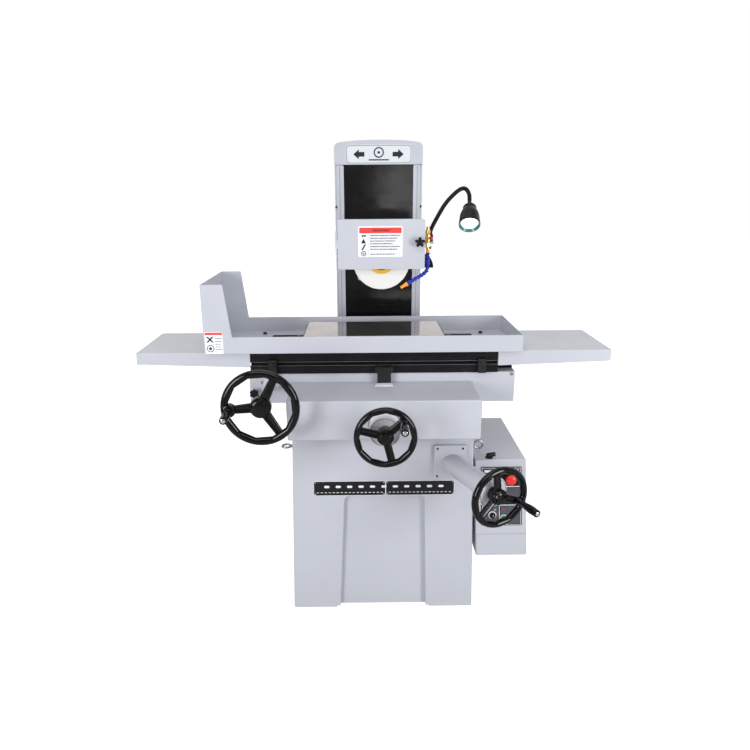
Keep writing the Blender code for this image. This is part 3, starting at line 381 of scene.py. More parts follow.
def smooth_path(route, spacing):
    """Evenly spaced points along a Catmull-Rom curve through a few route points."""
    knots = [2 * route[0] - route[1]] + list(route) + [2 * route[-1] - route[-2]]
    dense = []
    steps = 40
    for a, b, c, d in zip(knots, knots[1:], knots[2:], knots[3:]):
        for t in (step / steps for step in range(steps)):
            dense.append(0.5 * (2 * b + (c - a) * t + (2 * a - 5 * b + 4 * c - d) * t ** 2
                                + (3 * b - a - 3 * c + d) * t ** 3))
    dense.append(route[-1])
    lengths = [0.0]
    for first, second in zip(dense, dense[1:]):
        lengths.append(lengths[-1] + (second - first).length)
    count = max(2, round(lengths[-1] / spacing))
    result = []
    index = 0
    for i in range(count + 1):
        goal = lengths[-1] * i / count
        while index < len(lengths) - 2 and lengths[index + 1] < goal:
            index += 1
        share = (goal - lengths[index]) / max(lengths[index + 1] - lengths[index], 1e-9)
        result.append(dense[index].lerp(dense[index + 1], min(1.0, share)))
    return result


def fans(vertex):
    """The face corners round a vertex, in groups that are split by sharp edges."""
    waiting = list(vertex.link_loops)
    while waiting:
        fan = [waiting.pop()]
        for corner in fan:
            for line in (corner.edge, corner.link_loop_prev.edge):
                if line.smooth:
                    found = [other for other in waiting if other.face in line.link_faces]
                    waiting = [other for other in waiting if other not in found]
                    fan.extend(found)
        yield fan


def shade_flats(mesh, sharp=SHARP):
    """Smooth shading in which wide faces stay flat and only their rounded edges bend."""
    mesh.shade_smooth()
    mesh.set_sharp_from_angle(angle=math.radians(sharp))
    bm = bmesh.new()
    bm.from_mesh(mesh)
    pull = {face: face.normal * face.calc_area() for face in bm.faces}
    normals = {}
    for vertex in bm.verts:
        for fan in fans(vertex):
            total = sum((pull[corner.face] for corner in fan), Vector()).normalized()
            normals.update(dict.fromkeys(fan, total))
    mesh.normals_split_custom_set([normals[corner] for face in bm.faces for corner in face.loops])
    bm.free()


def to_mesh(name, bm):
    mesh = bpy.data.meshes.new(name)
    bm.to_mesh(mesh)
    bm.free()
    return mesh


def finish_piece(name, bm, body, surfaces, node=None, sharp=SHARP):
    """Turn a bmesh into a shaded object that rides on a body and may stand for a CAD node."""
    bmesh.ops.recalc_face_normals(bm, faces=bm.faces)
    mesh = to_mesh(name, bm)
    obj = add_object(name, mesh)
    for surface in surfaces:
        mesh.materials.append(surface.material)
    shade_flats(mesh, sharp)
    if node:
        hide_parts(node)
    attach(obj, body)


def body_of(node):
    return nodes[node]["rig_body"]


def rebuild(node, bm, surfaces, sharp=SHARP):
    """Finish a finely made piece that stands for one CAD node."""
    finish_piece(node + "_fine", bm, body_of(node), surfaces, node, sharp)


def refine(node, surface, edge, segments):
    """Copy a CAD node, weld it, merge its flat faces and round its sharp edges."""
    bm = bmesh.new()
    bm.from_mesh(nodes[node].data)
    bmesh.ops.remove_doubles(bm, verts=bm.verts, dist=WELD)
    bmesh.ops.dissolve_limit(bm, angle_limit=FLAT_ANGLE, verts=bm.verts, edges=bm.edges)
    mesh = to_mesh(node + "_fine", bm)
    mesh.materials.clear()
    mesh.materials.append(surface.material)
    obj = add_object(node + "_fine", mesh)
    bevel = obj.modifiers.new("edges", "BEVEL")
    bevel.width = edge
    bevel.segments = segments
    bevel.limit_method = "ANGLE"
    bevel.angle_limit = BEVEL_ANGLE
    bpy.context.view_layer.update()
    evaluated = obj.evaluated_get(bpy.context.evaluated_depsgraph_get())
    obj.data = bpy.data.meshes.new_from_object(evaluated)
    obj.modifiers.clear()
    shade_flats(obj.data)
    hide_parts(node)
    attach(obj, body_of(node))


# ---- castings and sheet metal

for node, surface, edge, segments in (
        ("base_casting", GREY, 0.0016, 2),
        ("column_casting", GREY, 0.0012, 2),
        ("column_cap", GREY, 0.0026, 3),
        ("column_front_cover", BLACK, 0.0006, 1),
        ("sliding_way_cover", BLACK, 0.0004, 1),
        ("telescopic_cover", BLACK, 0.0004, 1),
        ("control_box", GREY, 0.0006, 1),
        ("control_panel", PANEL, 0.0006, 1),
        ("cross_feed_nut", BRASS, 0.0012, 2),
        ("saddle_casting", GREY, 0.0016, 2),
        ("vee_way", IRON, 0.0008, 1),
        ("flat_way", IRON, 0.0008, 1),
        ("table_travel_stop", OXIDE, 0.0009, 2),
        ("table", IRON, 0.0008, 2),
        ("table_rack", OXIDE, 0.0003, 1),
        ("left_way_guard", GREY, 0.0009, 2),
        ("right_way_guard", GREY, 0.0009, 2),
        ("splash_tray", GREY, 0.0006, 1),
        ("magnetic_chuck", PLATEN, 0.0004, 1),
        ("left_stop_dog", OXIDE, 0.0007, 2),
        ("right_stop_dog", OXIDE, 0.0007, 2),
        ("table_drive_belt", RUBBER, 0.0003, 1),
        ("wheelhead_housing", GREY, 0.0014, 2),
        ("wheel_guard", GREY, 0.001, 2),
        ("guard_door", GREY, 0.0014, 2),
        ("elevating_nut", BRASS, 0.001, 2),
        ("spindle_bearing", OXIDE, 0.0008, 2),
        ("rack_pinion_shaft", OXIDE, 0.0003, 1),
        ("table_drive_shaft", OXIDE, 0.0006, 1),
        ("cross_feed_screw", OXIDE, 0.0006, 1),
        ("vertical_feed_shaft", OXIDE, 0.0006, 1),
        ("elevating_screw", OXIDE, 0.0006, 1),
        ("spindle_shaft", OXIDE, 0.0006, 1)):
    refine(node, surface, edge, segments)


# ---- handwheels

RIM_HALF_DEPTH = 0.0118
STEPS_PER_FLAT = 8
FLUTE_DEPTH, FLUTE_SHARE = 0.0034, 0.42


def rim(bm, place, radius, inner, flats, phase):
    """A wheel's rim, round outside, with flats for the fingers along its inner side."""
    count = flats * STEPS_PER_FLAT
    rings = []
    for i, angle in enumerate(turns(count, phase)):
        turn = 2 * math.pi * (i % STEPS_PER_FLAT) / count - math.pi / flats
        near = inner / math.cos(turn)
        middle = (radius + near) / 2
        half = (radius - near) / 2
        ring = []
        for around in turns(20):
            reach = middle + half * math.cos(around)
            ring.append(bm.verts.new(place @ Vector((reach * math.cos(angle),
                                                     reach * math.sin(angle),
                                                     RIM_HALF_DEPTH * math.sin(around)))))
        rings.append(ring)
    skin(bm, rings, closed=True)


def rounded(value):
    """A cosine or sine of a full turn, pushed outward so that a circle becomes boxy."""
    return math.copysign(abs(value) ** 0.7, value)


def spoke(bm, place, start, end, widths, depths, heights):
    """An arm from hub to rim with a shallow flute along its front."""
    rings = []
    for t in (step / 8 for step in range(9)):
        reach = start + (end - start) * t
        half = widths[0] + (widths[1] - widths[0]) * t
        depth = depths[0] + (depths[1] - depths[0]) * t
        height = heights[0] + (heights[1] - heights[0]) * t
        ring = []
        for angle in turns(28):
            side, rise = rounded(math.cos(angle)), rounded(math.sin(angle))
            flute = FLUTE_DEPTH * math.exp(-(side / FLUTE_SHARE) ** 2) if rise > 0.0 else 0.0
            ring.append(bm.verts.new(place @ Vector((reach, half * side,
                                                     height + depth * rise - flute))))
        rings.append(ring)
    skin(bm, rings)


def handwheel(node, place, radius, hub, thickness, grip_radius, grip_angle, hub_back):
    """A glossy three-armed handwheel, and the turning grip on one arm."""
    bm = bmesh.new()
    rim(bm, place, radius, radius - thickness, 12, math.radians(grip_angle + 15.0))
    for i in range(3):
        turn = spun(math.radians(grip_angle + 120.0 * i))
        spoke(bm, place @ turn, 0.016, radius - 0.01, (hub * 0.5, 0.0122), (0.0085, 0.0078),
              (-0.0085, -0.0015))
    lathe(bm, place,
          [(0, 0.0096), (0.0042, 0.0094), (0.0048, 0.0112), (hub - 0.013, 0.0118),
           (hub - 0.009, 0.0098), (hub - 0.0068, 0.0058), (hub - 0.0052, 0.0052),
           (hub - 0.0022, 0.0052), (hub - 0.0004, 0.0036), (hub + 0.0008, 0), (hub + 0.001, -0.01),
           (hub, -0.022), (0.0252, -0.03), (0.024, hub_back + 0.0012), (0.0228, hub_back)], 64)
    turn = spun(math.radians(grip_angle))
    seat = place @ turn @ Matrix.Translation((grip_radius, 0, 0))
    boss = hub - 0.0125
    lathe(bm, seat,
          [(boss - 0.0045, 0.016), (boss - 0.0015, 0.0145), (boss, 0.0105), (boss, -0.0095),
           (boss - 0.0014, -0.0116), (0, -0.012)], 40)
    rebuild(node, bm, [PHENOLIC])

    bm = bmesh.new()
    top = seat @ Matrix.Translation((0, 0, 0.0163))
    lathe(bm, top,
          [(0.0078, 0.0805), (0.0084, 0.082), (0.0104, 0.0818), (0.0118, 0.0804), (0.0124, 0.0772),
           (0.0124, 0.0736), (0.0116, 0.0722), (0.0122, 0.0705), (0.013, 0.062), (0.0134, 0.052),
           (0.0124, 0.036), (0.0106, 0.021), (0.0098, 0.011), (0.0098, 0.0085), (0.0114, 0.0065),
           (0.0116, 0.003), (0.0106, 0.0005), (0, 0)], 40)
    lathe(bm, top,
          [(0, 0.0827), (0.006, 0.0826), (0.0072, 0.0819), (0.0076, 0.0803), (0.0076, 0.0735)],
          32, paint=1)
    lathe(bm, top,
          [(0.0092, 0.0002), (0.0092, -0.002), (0.006, -0.002), (0.006, 0.0002)], 32, True, 1)
    rebuild(node + "_grip", bm, [PHENOLIC, BRIGHT])


TABLE_WHEEL = facing(at(-0.3925, -0.193, 0.875))
CROSS_WHEEL = facing(at(0.0, -0.24, 0.79))
VERTICAL_WHEEL = facing(at(0.3595, -0.27, 0.5967), FEED_YAW)
handwheel("table_handwheel", TABLE_WHEEL, 0.125, 0.0335, 0.0268, 0.098, 184.0, -0.05)
handwheel("cross_handwheel", CROSS_WHEEL, 0.1, 0.0262, 0.0216, 0.0755, 44.0, -0.0425)
handwheel("vertical_handwheel", VERTICAL_WHEEL, 0.1035, 0.0262, 0.0236, 0.078, -21.0, -0.0345)


def dial(node, place, profile, bore, shade_ring_radius, marked_radius, mark_low, mark_high, marks):
    """A satin dial with a dark ring on its face, painted shade of a recessed ring, and lines round
    its side.

    Every fifth line is longer, and every tenth longer again.
    """
    bm = bmesh.new()
    ring = [(bore, profile[0][1])] + profile + [(bore, profile[-1][1])]
    lathe(bm, place, ring, 96, True)
    low, high = profile[1][1] - 0.001, profile[1][1] + 0.0003
    inner, outer = shade_ring_radius - 0.0006, shade_ring_radius + 0.0006
    # The dark ring is painted shade standing for a recessed ring's shadow.
    lathe(bm, place, [(inner, low), (inner, high), (outer, high), (outer, low)], 96, True, 1)
    span = mark_high - mark_low
    half_width = 0.00022
    for i, angle in enumerate(turns(marks)):
        reach = 1.0 if i % 10 == 0 else (0.75 if i % 5 == 0 else 0.5)
        block(bm, (marked_radius - 0.0006, -half_width, mark_high - span * reach),
              (marked_radius + 0.00012, half_width, mark_high), paint=1,
              place=place @ spun(angle))
    rebuild(node, bm, [DIAL, INK_AND_SHADE])


dial("cross_feed_dial", facing(at(0.0, -0.1213, 0.79)),
     [(0.03, 0.075), (0.0482, 0.0748), (0.05, 0.0738), (0.051, 0.0716), (0.051, 0.0125),
      (0.0504, 0.0105), (0.049, 0.0068), (0.048, 0.0052), (0.048, 0)],
     0.0124, 0.0462, 0.051, 0.052, 0.07, 100)
dial("vertical_feed_dial", VERTICAL_WHEEL,
     [(0.028, -0.035), (0.0505, -0.0352), (0.0526, -0.0362), (0.0535, -0.0382),
      (0.0535, -0.0595), (0.052, -0.0612), (0.0395, -0.079), (0.038, -0.08)],
     0.0103, 0.0485, 0.0535, -0.058, -0.042, 80)

bm = bmesh.new()
lathe(bm, facing(at(0.0, -0.121, 0.79)),
      [(0.061, 0.0002), (0.061, 0.0042), (0.0596, 0.006), (0.0545, 0.006), (0.0532, 0.0045),
       (0.0532, 0.0002)], 96, True)
finish_piece("cross_dial_collar", bm, "saddle", [GREY])


# ---- vertical feed tube

tube_back = 0.0125 - 0.27 / math.cos(FEED_YAW)
bm = bmesh.new()
block(bm, at(0.18, -0.0123, 0.5375), at(0.292, -0.0003, 0.6665), 0.0022, segments=3)
lathe(bm, VERTICAL_WHEEL,
      [(0.013, -0.081), (0.033, -0.0806), (0.035, -0.0814), (0.036, -0.0836),
       (0.036, tube_back - 0.02), (0.03, tube_back - 0.016), (0.03, -0.0905), (0.013, -0.09)],
      80, True)
rebuild("vertical_feed_tube", bm, [GREY])


# ---- wheel and spindle

spindle_place = facing(at(0.0, 0.0, SPINDLE_Z))
bm = bmesh.new()
lathe(bm, spindle_place,
      [(0.0161, -0.193), (0.04, -0.193), (0.0988, -0.193), (0.1, -0.1942), (0.1, -0.2118),
       (0.0988, -0.213), (0.0161, -0.213)], 160, True)
rebuild("grinding_wheel", bm, [ABRASIVE])

bm = bmesh.new()
lathe(bm, spindle_place,
      [(0.0168, -0.1782), (0.0212, -0.1782), (0.024, -0.18), (0.024, -0.185), (0.0296, -0.1856),
       (0.0308, -0.187), (0.0312, -0.1902), (0.0158, -0.1906)], 6, True)
lathe(bm, spindle_place,
      [(0.0158, -0.184), (0.0295, -0.1842), (0.031, -0.1856), (0.0314, -0.1902), (0.044, -0.1906),
       (0.0158, -0.1926)], 96, True)
lathe(bm, spindle_place,
      [(0.0318, -0.1898), (0.0446, -0.1898), (0.045, -0.1902), (0.045, -0.1929), (0.0318, -0.1929)],
      96, True, 1)
lathe(bm, spindle_place,
      [(0.0143, -0.188), (0.0157, -0.188), (0.0157, -0.2128), (0.0143, -0.2128)], 48, True)
rebuild("wheel_flange", bm, [OXIDE, BLOTTER])


# ---- guard door and lamp

def knob_outline(radius, lobes, depth):
    """Rounded lobes with narrower valleys between them."""
    points = []
    for angle in turns(100):
        swell = math.cos(lobes * angle)
        reach = radius + depth * math.copysign(abs(swell) ** 0.8, swell)
        points.append((reach * math.sin(angle), reach * math.cos(angle)))
    return points


def lobed_knob(node, place, radius, lobes, depth, low, high, stem):
    bm = bmesh.new()
    for share, bottom, top in ((1, low + 0.0018, high - 0.0018), (0.94, low, high)):
        outline = [(x * share, y * share) for x, y in knob_outline(radius, lobes, depth)]
        prism(bm, outline, bottom, top, place)
    lathe(bm, place, stem, 40)
    rebuild(node, bm, [SATIN])


lobed_knob("guard_door_knob", facing(at(0.1318, 0.1697, 1.354)), 0.0142, 5, 0.0038, 0.01, 0.024,
           [(0, 0.0262), (0.005, 0.026), (0.008, 0.0248), (0.0085, 0.02), (0.0085, 0.004),
            (0.0095, 0)])
lobed_knob("table_lock_knob", facing(at(-0.456, 0.0967, 0.836)), 0.0148, 6, 0.0018, 0.016, 0.031,
           [(0, 0.0345), (0.008, 0.034), (0.011, 0.0318), (0.011, 0.02), (0.008, 0.014),
            (0.008, 0)])

lamp_route = [at(0.174, 0.235, 1.37), at(0.178, 0.235, 1.392), at(0.1936, 0.235, 1.4243),
              at(0.2237, 0.235, 1.4762), at(0.2544, 0.235, 1.5106), at(0.279, 0.235, 1.529),
              at(0.2965, 0.234, 1.529), at(0.3082, 0.231, 1.511), at(0.3094, 0.224, 1.4865)]
bm = bmesh.new()
path = smooth_path(lamp_route, 0.0011)
sweep(bm, path, [0.0074 + (0.0 if i % 4 < 2 else -0.0004) for i in range(len(path))], 28)
lathe(bm, upright(at(0.174, 0.235, 1.35)),
      [(0.0085, 0.027), (0.0098, 0.0255), (0.0112, 0.0235), (0.0116, 0.0215), (0.0116, 0.009),
       (0.0106, 0.008), (0.0116, 0.007), (0.0116, 0.001), (0.0108, 0)], 48, paint=1)
rebuild("lamp_gooseneck", bm, [RUBBER, SATIN])

tilt = math.radians(45.0)
lean_left = 0.13
aim = Vector((-lean_left * math.cos(tilt), -math.cos(tilt), -math.sin(tilt))).normalized()
lamp_top = at(0.3096, 0.2205, 1.48)
lamp_place = along(lamp_top, lamp_top + aim)
bm = bmesh.new()
lathe(bm, lamp_place,
      [(0, 0), (0.0085, 0.0002), (0.0102, 0.0014), (0.0122, 0.0042), (0.019, 0.0125),
       (0.0222, 0.0165), (0.0236, 0.02), (0.024, 0.03), (0.0246, 0.0325), (0.0262, 0.035),
       (0.03, 0.044), (0.0327, 0.054), (0.0334, 0.058), (0.0355, 0.078), (0.0362, 0.088),
       (0.0366, 0.09), (0.0368, 0.0965), (0.0362, 0.098), (0.0346, 0.0984), (0.0346, 0.088)], 80)
lathe(bm, lamp_place,
      [(0.0348, 0.0884), (0.0348, 0.0978), (0.0342, 0.098), (0.0288, 0.0908), (0.0282, 0.09),
       (0.0282, 0.0884)], 80, True, 1)
rebuild("lamp_head", bm, [SATIN, TEAL])

bm = bmesh.new()
lathe(bm, lamp_place,
      [(0, 0.0916), (0.012, 0.0914), (0.022, 0.0908), (0.027, 0.09), (0.028, 0.0892),
       (0.028, 0.0884)], 64)
rebuild("lamp_lens", bm, [LENS])


# ---- coolant valve and hose

VALVE = at(0.164, 0.205, 0.0)
bm = bmesh.new()
for profile, steps, phase in (
        ([(0.0052, 1.403), (0.0062, 1.401), (0.0062, 1.39)], 32, 0),
        ([(0, 1.393), (0.0082, 1.3928), (0.009, 1.3912), (0.009, 1.38), (0, 1.379)], 6, 0),
        ([(0.007, 1.38), (0.0082, 1.3785), (0.009, 1.374), (0.0096, 1.364), (0.009, 1.354),
          (0.008, 1.349), (0.0076, 1.34)], 40, 0),
        ([(0, 1.347), (0.0084, 1.3468), (0.0092, 1.345), (0.0092, 1.3345), (0.0084, 1.3325),
          (0, 1.332)], 6, 0.3),
        ([(0.0072, 1.333), (0.0072, 1.3252), (0, 1.325)], 32, 0)):
    lathe(bm, upright(VALVE), profile, steps, phase=phase)
lathe(bm, along(at(0.1503, 0.205, 1.358), at(0.164, 0.205, 1.358)),
      [(0.0075, 0), (0.0075, 0.005), (0.005, 0.0056), (0.005, 0.0137)], 6)
lathe(bm, along(at(0.164, 0.205, 1.3318), at(0.19, 0.205, 1.329)),
      [(0, 0.013), (0.0036, 0.0128), (0.0046, 0.0115), (0.0046, 0.0078), (0.0026, 0.0072),
       (0.0026, 0)], 24, paint=1)
rebuild("coolant_valve", bm, [BRASS, SATIN])

bm = bmesh.new()
pivot = at(0.1718, 0.205, 1.364)
lathe(bm, along(pivot, pivot + Vector((0.01, 0, 0))),
      [(0, 0.008), (0.003, 0.0078), (0.0046, 0.0064), (0.0048, 0.0008), (0.0044, 0)], 32)
for low, high, edge in (((0.0028, -0.0245, -0.0036), (0.006, 0, 0.0036), 0.0014),
                        ((0.0022, -0.025, -0.0044), (0.007, -0.013, 0.0044), 0.0019)):
    block(bm, pivot + Vector(low), pivot + Vector(high), edge, segments=3)
rebuild("valve_lever", bm, [RED])

hose_route = [VALVE + Vector(step) for step in (
    (0, 0, 1.3247), (0.001, 0, 1.295), (0.0012, 0, 1.268), (-0.004, 0, 1.248))]
hose_route += [at(0.1421, 0.205, 1.2325), at(0.118, 0.205, 1.219), at(0.0976, 0.205, 1.2061),
               at(0.083, 0.205, 1.1975), at(0.0695, 0.205, 1.1895)]
HOSE_STEP = 0.00075
BEAD_PITCH = 0.0122
BEAD_SHARE = 0.62
path = smooth_path(hose_route, HOSE_STEP)
collar = round(0.011 / HOSE_STEP)
nozzle = round(0.028 / HOSE_STEP)
blue, first, last = path[collar:-nozzle], path[:collar + 2], path[-nozzle - 2:]
radii = []
for i in range(len(blue)):
    share = (i * HOSE_STEP % BEAD_PITCH) / BEAD_PITCH
    if share < BEAD_SHARE:
        radii.append(0.0048 + 0.0036 * math.sin(math.pi * share / BEAD_SHARE) ** 0.6)
    else:
        neck = (share - BEAD_SHARE) / (1.0 - BEAD_SHARE)
        radii.append(0.005 + 0.0012 * math.sin(math.pi * neck))
bm = bmesh.new()
sweep(bm, blue, radii, 28)
radii = [0.006 if i < 3 or i > len(first) - 4 else 0.007 for i in range(len(first))]
sweep(bm, first, radii, 28, 1)
shares = [i / (len(last) - 1) for i in range(len(last))]
radii = [0.0086 - 0.006 * share if share < 0.45 else 0.0056 for share in shares]
sweep(bm, last, radii, 28, 1)
rebuild("coolant_hose", bm, [BLUE, ORANGE], 40.0)

bm = bmesh.new()
fan_x, fan_z = 0.1503, 1.2545
fan = [(fan_x, fan_z)] + [(fan_x + 0.04 * math.cos(angle), fan_z + 0.05 * math.sin(angle))
                          for angle in (math.radians(6 * i) for i in range(16))]
prism(bm, fan, -0.252, -0.2495, plane(0.0))
finish_piece("splash_flap", bm, "wheelhead", [RUBBER])


# ---- motor behind the column

motor_place = facing(at(0.0, 0.9053, SPINDLE_Z))
bm = bmesh.new()
lathe(bm, motor_place,
      [(0.019, 0), (0.069, 0), (0.07, -0.001), (0.07, -0.01), (0.082, -0.011), (0.0878, -0.0135),
       (0.088, -0.02), (0.0812, -0.0212), (0.0812, -0.146), (0.088, -0.1475), (0.088, -0.154),
       (0.0855, -0.156), (0.0855, -0.185), (0.0835, -0.1905), (0.079, -0.1942), (0.07, -0.1958),
       (0, -0.196), (0, -0.039), (0.019, -0.039)], 96, capped=False)
for i, angle in enumerate(turns(36)):
    if not 6 < i < 12:
        block(bm, (0.08, -0.0011, -0.1465), (0.0878, 0.0011, -0.0205), 0.0006,
              place=motor_place @ spun(angle), segments=1)
low, high = at(-0.045, 0.94, 1.356), at(0.045, 1.03, 1.404)
block(bm, low, high - Vector((0, 0, 0.006)), 0.003)
block(bm, Vector((low.x - 0.0012, low.y - 0.0012, high.z - 0.008)),
      high + Vector((0.0012, 0.0012, 0)), 0.0022)
for ring in range(5):
    reach = 0.018 + ring * 0.0115
    for angle in turns(8 + ring * 6):
        spot = motor_place @ Vector((reach * math.cos(angle), reach * math.sin(angle), -0.1957))
        lathe(bm, facing(spot, math.pi),
              [(0, 0.001), (0.0032, 0.0008), (0.0036, -0.0002), (0, -0.0004)], 10, paint=1)
rebuild("spindle_motor", bm, [GREY, INK_AND_SHADE])


# ---- lifting eyes and fasteners

EYE_RADIUS, EYE_WIRE = 0.0155, 0.0038
BASE_HALF_WIDTH = 0.3185
TABLE_MIDDLE = -0.0286


def lifting_eye(node, side, turn):
    """A ring on a collared shank that screws into the base's side."""
    bm = bmesh.new()
    x = side * (BASE_HALF_WIDTH + 0.0063)
    centre = at(x + side * 0.024, 0.07, 0.636)
    place = Matrix.Translation(centre) @ Matrix.Rotation(turn, 4, "X")
    rings = []
    for angle in turns(64):
        lean = Vector((math.cos(angle), math.sin(angle), 0))
        ring = []
        for around in turns(20):
            spot = lean * (EYE_RADIUS + EYE_WIRE * math.cos(around))
            spot += Vector((0, 0, EYE_WIRE * math.sin(around)))
            ring.append(bm.verts.new(place @ spot))
        rings.append(ring)
    skin(bm, rings, closed=True)
    start = at(x, 0.07, 0.636)
    lathe(bm, along(start, start + Vector((side, 0, 0))),
          [(0, 0.0128), (0.0046, 0.0124), (0.005, 0.01), (0.0052, 0.0046), (0.0086, 0.0036),
           (0.009, 0.001), (0.0086, 0)], 32)
    rebuild(node, bm, [ZINC_AND_HIGHLIGHT])


lifting_eye("left_lifting_eye", -1, 0.0)
lifting_eye("right_lifting_eye", 1, math.radians(90.0))


def socket_screw(bm, place, radius, height):
    """A cap screw with a round recess in its head."""
    lathe(bm, place,
          [(radius * 0.48, height * 0.35), (radius * 0.52, height * 0.96), (radius * 0.88, height),
           (radius, height * 0.86), (radius, 0)], 30)


def hex_bolt(bm, place, radius, height):
    """A six-sided bolt head on a washer."""
    washer = radius * 1.25
    lathe(bm, place, [(washer, 0.001), (washer, 0)], 30)
    lathe(bm, place, [(radius * 0.84, height), (radius, height * 0.88), (radius, 0.0009)], 6)


bm = bmesh.new()
for x in (-0.188, 0.188):
    for y in (0.64, 0.735, 0.83):
        socket_screw(bm, upright(at(x, y, 0.758)), 0.0085, 0.009)
for x in (0.1915, 0.2805):
    for z in (0.5495, 0.6545):
        socket_screw(bm, facing(at(x, -0.0123, z)), 0.0036, 0.0022)
for side in (-1, 1):
    for z in (1.459, 0.9):
        socket_screw(bm, facing(at(side * 0.1715, 0.6058, z)), 0.005, 0.003)
finish_piece("base_screws", bm, "base", [OXIDE])

bm = bmesh.new()
for x, z in ((-0.4286, 0.87), (0.462, 0.8947)):
    socket_screw(bm, facing(at(x, 0.097, z)), 0.0046, 0.0022)
    # A dark ring round each screw head: painted shade of the gap round the head.
    lathe(bm, facing(at(x, 0.097, z)),
          [(0.005, -0.0002), (0.005, 0.0003), (0.0064, 0.0003), (0.0064, -0.0002)], 40, True, 1)
finish_piece("guide_screws_and_shade_rings", bm, "saddle", [ZINC_AND_HIGHLIGHT, GREY_INK_AND_SHADE])

bm = bmesh.new()
for x, y in ((-0.4515, 0.367), (0.3915, 0.354), (-0.4515, 0.13), (0.3915, 0.13)):
    hex_bolt(bm, upright(at(x, y, 0.9863)), 0.0068, 0.0075)
for x in (-0.264, 0.1965):
    for offset in (-0.0065, 0.0065):
        lathe(bm, upright(at(x + offset, 0.237, 1.037)),
              [(0.0019, -0.0002), (0.0022, 0.0002), (0.0027, 0.0002), (0.0027, -0.0008)], 24)
for x in (TABLE_MIDDLE - 0.276, TABLE_MIDDLE + 0.276):
    hex_bolt(bm, upright(at(x, 0.215, 1.001)), 0.01, 0.012)
finish_piece("table_screws", bm, "table", [OXIDE])

bm = bmesh.new()
prism(bm, [(-0.027, 0.04), (0.037, 0.04), (0.032, 0.07), (-0.02, 0.07)],
      0.87, 0.8722, upright(at(0.0, 0.0, 0.0)))
finish_piece("travel_stop_pad", bm, "saddle", [WHITE])

# Thin bright strips along the lips of the table's front T-slot: painted highlights of the slot's
# edges.
bm = bmesh.new()
for z in (0.9328, 0.9462):
    block(bm, at(-0.4646, 0.0892, z), at(0.4074, 0.0896, z + 0.001))
finish_piece("slot_edge_highlights", bm, "table", [ZINC_AND_HIGHLIGHT])

# Thin dark strips across the chuck's ends: painted shade standing for the chuck's shadowed end
# faces.
bm = bmesh.new()
for x in (-0.278, 0.2182):
    block(bm, at(x, 0.0978, 1.0366), at(x + 0.0026, 0.3462, 1.0372))
finish_piece("chuck_end_shade_lines", bm, "table", [INK_AND_SHADE])


# ---- plates and labels

def chamfered(low_x, high_x, low_z, high_z, cut):
    """A plate's outline with its corners cut off."""
    return [(low_x + cut, low_z), (high_x - cut, low_z), (high_x, low_z + cut),
            (high_x, high_z - cut), (high_x - cut, high_z), (low_x + cut, high_z),
            (low_x, high_z - cut), (low_x, low_z + cut)]


def layer(bm, place, outline, level, paint, thickness=0.0002):
    """One printed layer; higher levels lie on lower ones."""
    prism(bm, outline, level * thickness, (level + 1) * thickness, place, paint)


def patch(bm, place, low_x, high_x, low_z, high_z, level, paint):
    layer(bm, place, [(low_x, low_z), (high_x, low_z), (high_x, high_z), (low_x, high_z)],
          level, paint)


def disc(bm, place, x, z, radius, level, paint, count=28):
    points = [(x + radius * math.cos(angle), z + radius * math.sin(angle))
              for angle in turns(count)]
    layer(bm, place, points, level, paint)


def target(bm, place, x, z, radii, paint):
    """A ring on the label's ground with a dot in its middle."""
    for step, (radius, colour) in enumerate(zip(radii, (paint, 0, paint))):
        disc(bm, place, x, z, radius, step + 1, colour)


def dashes(bm, place, low_x, high_x, rows, height, level, paint):
    """Rows of plain dashes of uneven length, as filler for print."""
    for row, z in enumerate(rows):
        x = low_x
        step = 0
        end = high_x - (high_x - low_x) * (0.08 * ((row * 5) % 4))
        while x < end - 0.002:
            length = min(0.0035 + 0.0022 * ((step * 7 + row * 3) % 4), end - x)
            patch(bm, place, x, x + length, z - height / 2, z + height / 2, level, paint)
            x += length + 0.0016
            step += 1


front = plane(0.0)
bm = bmesh.new()
for low_x, high_x in ((-0.25, 0.0087), (0.0093, 0.256)):
    layer(bm, front, chamfered(low_x, high_x, 0.4705, 0.5275, 0.004), 0, 1, 0.0008)
    outline = chamfered(low_x + 0.0014, high_x - 0.0014, 0.4719, 0.5261, 0.0035)
    layer(bm, plane(-0.0006), outline, 1, 0)
marks = plane(-0.0008)
for i in range(11):
    x = -0.202 + i * 0.041
    layer(bm, marks, chamfered(x - 0.0095, x + 0.0095, 0.501, 0.51, 0.0028), 1, 1)
for i in range(34):
    x = -0.235 + i * 0.0144
    if not 0.002 < x < 0.016:
        layer(bm, marks, chamfered(x - 0.0042, x + 0.0042, 0.4815, 0.4838, 0.0008), 1, 1)
for x in (-0.244, 0.003, 0.015, 0.25):
    for z in (0.4765, 0.5215):
        lathe(bm, facing(at(x, -0.0008, z)),
              [(0, 0.0012), (0.0012, 0.001), (0.0019, 0)], 16, paint=1)
finish_piece("base_plate", bm, "base", [PANEL, WHITE])

